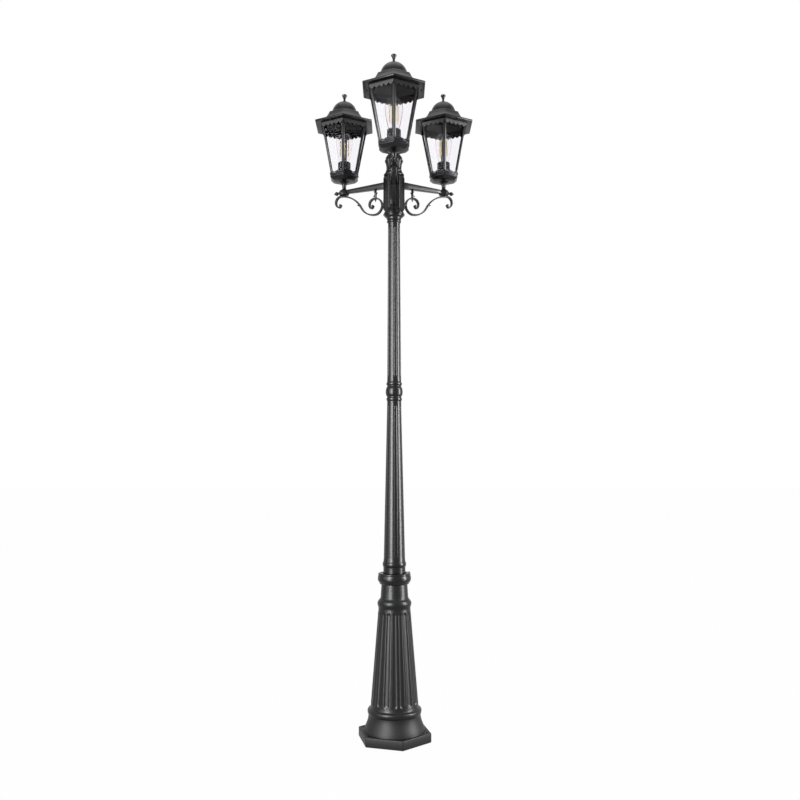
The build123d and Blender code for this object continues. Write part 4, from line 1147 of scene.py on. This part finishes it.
def filaments():
    foot_wire = [(0, 22.6), (0.5, 22.8), (0.5, 25)]
    coated = [(1.9, 25.6, 0.5), (1.9, 85.2, 0.5)]
    top_wire = [(0.5, 85.8), (0.5, 88), (0, 88.2)]
    parts = []
    for k in range(4):
        stick = turned(foot_wire + coated + top_wire, steps=14, seat=GLASS_FOOT)
        turn = Matrix.Rotation(math.radians(90 * k + FILAMENT_TURN), 4, "Z")
        parts.append(moved(stick, turn @ Matrix.Translation((FILAMENT_R, 0, 0))))
    return joined(*parts)


on_arms("bulb_stem", filament_mount, stem_glass, "stem_glass", "bulb_{}", "filament_mount", lantern=True)
on_arms("bulb_filaments", filaments, phosphor, "amber_filament", "bulb_{}", "filaments", lantern=True)

# %% [markdown]
# ## Pieces that stay as the CAD made them
# Flat panes, the hidden nut and tube and the lock screw already have their real shape. Making
# them again would gain nothing, so they only get a finish on their own material slots.

# %% Finish the carried-over pieces
CARRIED_OVER = {
    "column_nut": zinc,
    "column_nipple": zinc,
    "head_lock_screw": black_steel,
    **{f"panes_{side}": float_glass for side in ARMS},
}
for node_name, finish in CARRIED_OVER.items():
    for material_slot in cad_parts[node_name].material_slots:
        material_slot.material = finish
print("carried over:", len(CARRIED_OVER), "nodes")

# %% [markdown]
# ## White paper
# The photograph's studio is all white. The floor and the world could be lit until they clip,
# but that light would also wash out the post. Instead, the camera, reflections and refractions
# see white that is simply given, while bounced light sees a plain grey-white, and the floor
# keeps a trace of real paper so that the post's shadow shows.


# %% Floor and world
def given_white(tree):
    """1 where the camera, a reflection or a refraction looks, 0 where light bounces."""
    path = add_node(tree, "ShaderNodeLightPath")
    seen = path.outputs["Is Camera Ray"]
    for ray in ("Is Glossy Ray", "Is Transmission Ray"):
        either = add_node(tree, "ShaderNodeMath", {0: seen, 1: path.outputs[ray]}, operation="MAXIMUM")
        seen = either.outputs[0]
    return seen


floor_bm = bmesh.new()
bmesh.ops.create_grid(floor_bm, x_segments=1, y_segments=1, size=30.0)
floor_mesh = bpy.data.meshes.new("floor")
floor_bm.to_mesh(floor_mesh)
floor_bm.free()
floor = bpy.data.objects.new("floor", floor_mesh)
bpy.context.collection.objects.link(floor)
floor.location.z = -0.0005
paper, tree, place = new_material("white_paper_sweep")
matt = add_node(tree, "ShaderNodeBsdfDiffuse", {"Color": colour("#f4f4f4")})
glow = add_node(tree, "ShaderNodeEmission", {"Color": (1, 1, 1, 1), "Strength": 1.0})
share = add_node(tree, "ShaderNodeMath", {0: given_white(tree), 1: 0.96}, operation="MULTIPLY")
mixed = {0: share.outputs[0], 1: matt.outputs[0], 2: glow.outputs[0]}
finish_material(tree, add_node(tree, "ShaderNodeMixShader", mixed))
floor_mesh.materials.append(paper)

world = bpy.data.worlds.new("white_studio")
bpy.context.scene.world = world
world.use_nodes = True
world_tree = world.node_tree
world_tree.nodes.clear()
strength = add_node(world_tree, "ShaderNodeMapRange", {"Value": given_white(world_tree), "To Min": 0.8})
white = {"Color": (1, 1, 1, 1), "Strength": strength.outputs["Result"]}
sky = add_node(world_tree, "ShaderNodeBackground", white)
add_node(world_tree, "ShaderNodeOutputWorld", {"Surface": sky.outputs[0]})
print("floor and world are white")

# %% [markdown]
# ## Lamps
# Two tall softboxes, left and right, draw the long streaks down the post, and a dim card
# beside the left one lifts the left faces. Lamps strong enough for streaks on a black coat would
# bleach the yellow filaments, so these three shine only in reflections. One wide softbox above
# gives the plain even light.


# %% Lamps
def softbox(name, place, target, width, height, watts, shine_only=False):
    """A rectangular lamp. watts is its power per square metre, and 3.14 of them look white."""
    lamp = bpy.data.lights.new(name, "AREA")
    lamp.shape = "RECTANGLE"
    lamp.size = width
    lamp.size_y = height
    lamp.energy = watts * width * height
    made = bpy.data.objects.new(name, lamp)
    bpy.context.collection.objects.link(made)
    made.location = place
    made.rotation_euler = (Vector(target) - Vector(place)).to_track_quat("-Z", "Y").to_euler()
    made.visible_diffuse = not shine_only
    # seen straight on or through glass, a lamp would glare behind the post in the side views
    made.visible_camera = made.visible_transmission = False
    return made


lamps = [
    softbox("left_softbox", (-1.78, -2.5, 1.55), (0, 0, 1.55), 0.95, 2.7, 128, shine_only=True),
    softbox("left_card", (-2.7, -1.45, 1.75), (0, 0, 1.75), 1.2, 2.6, 16, shine_only=True),
    softbox("right_softbox", (2.83, -0.60, 1.55), (0, 0, 1.55), 0.75, 2.7, 136, shine_only=True),
    softbox("top_softbox", (0.0, -0.4, 5.0), (0, 0, 1.2), 3.0, 3.0, 4.8),
]
bpy.context.scene.view_settings.view_transform = "Standard"
print("lamps:", len(lamps))

# %% [markdown]
# ## Finish
# The dressed post must be as big as the CAD model. Here the view layer is only
# updated, so that every piece's place is current.

# %% Finish
bpy.context.view_layer.update()
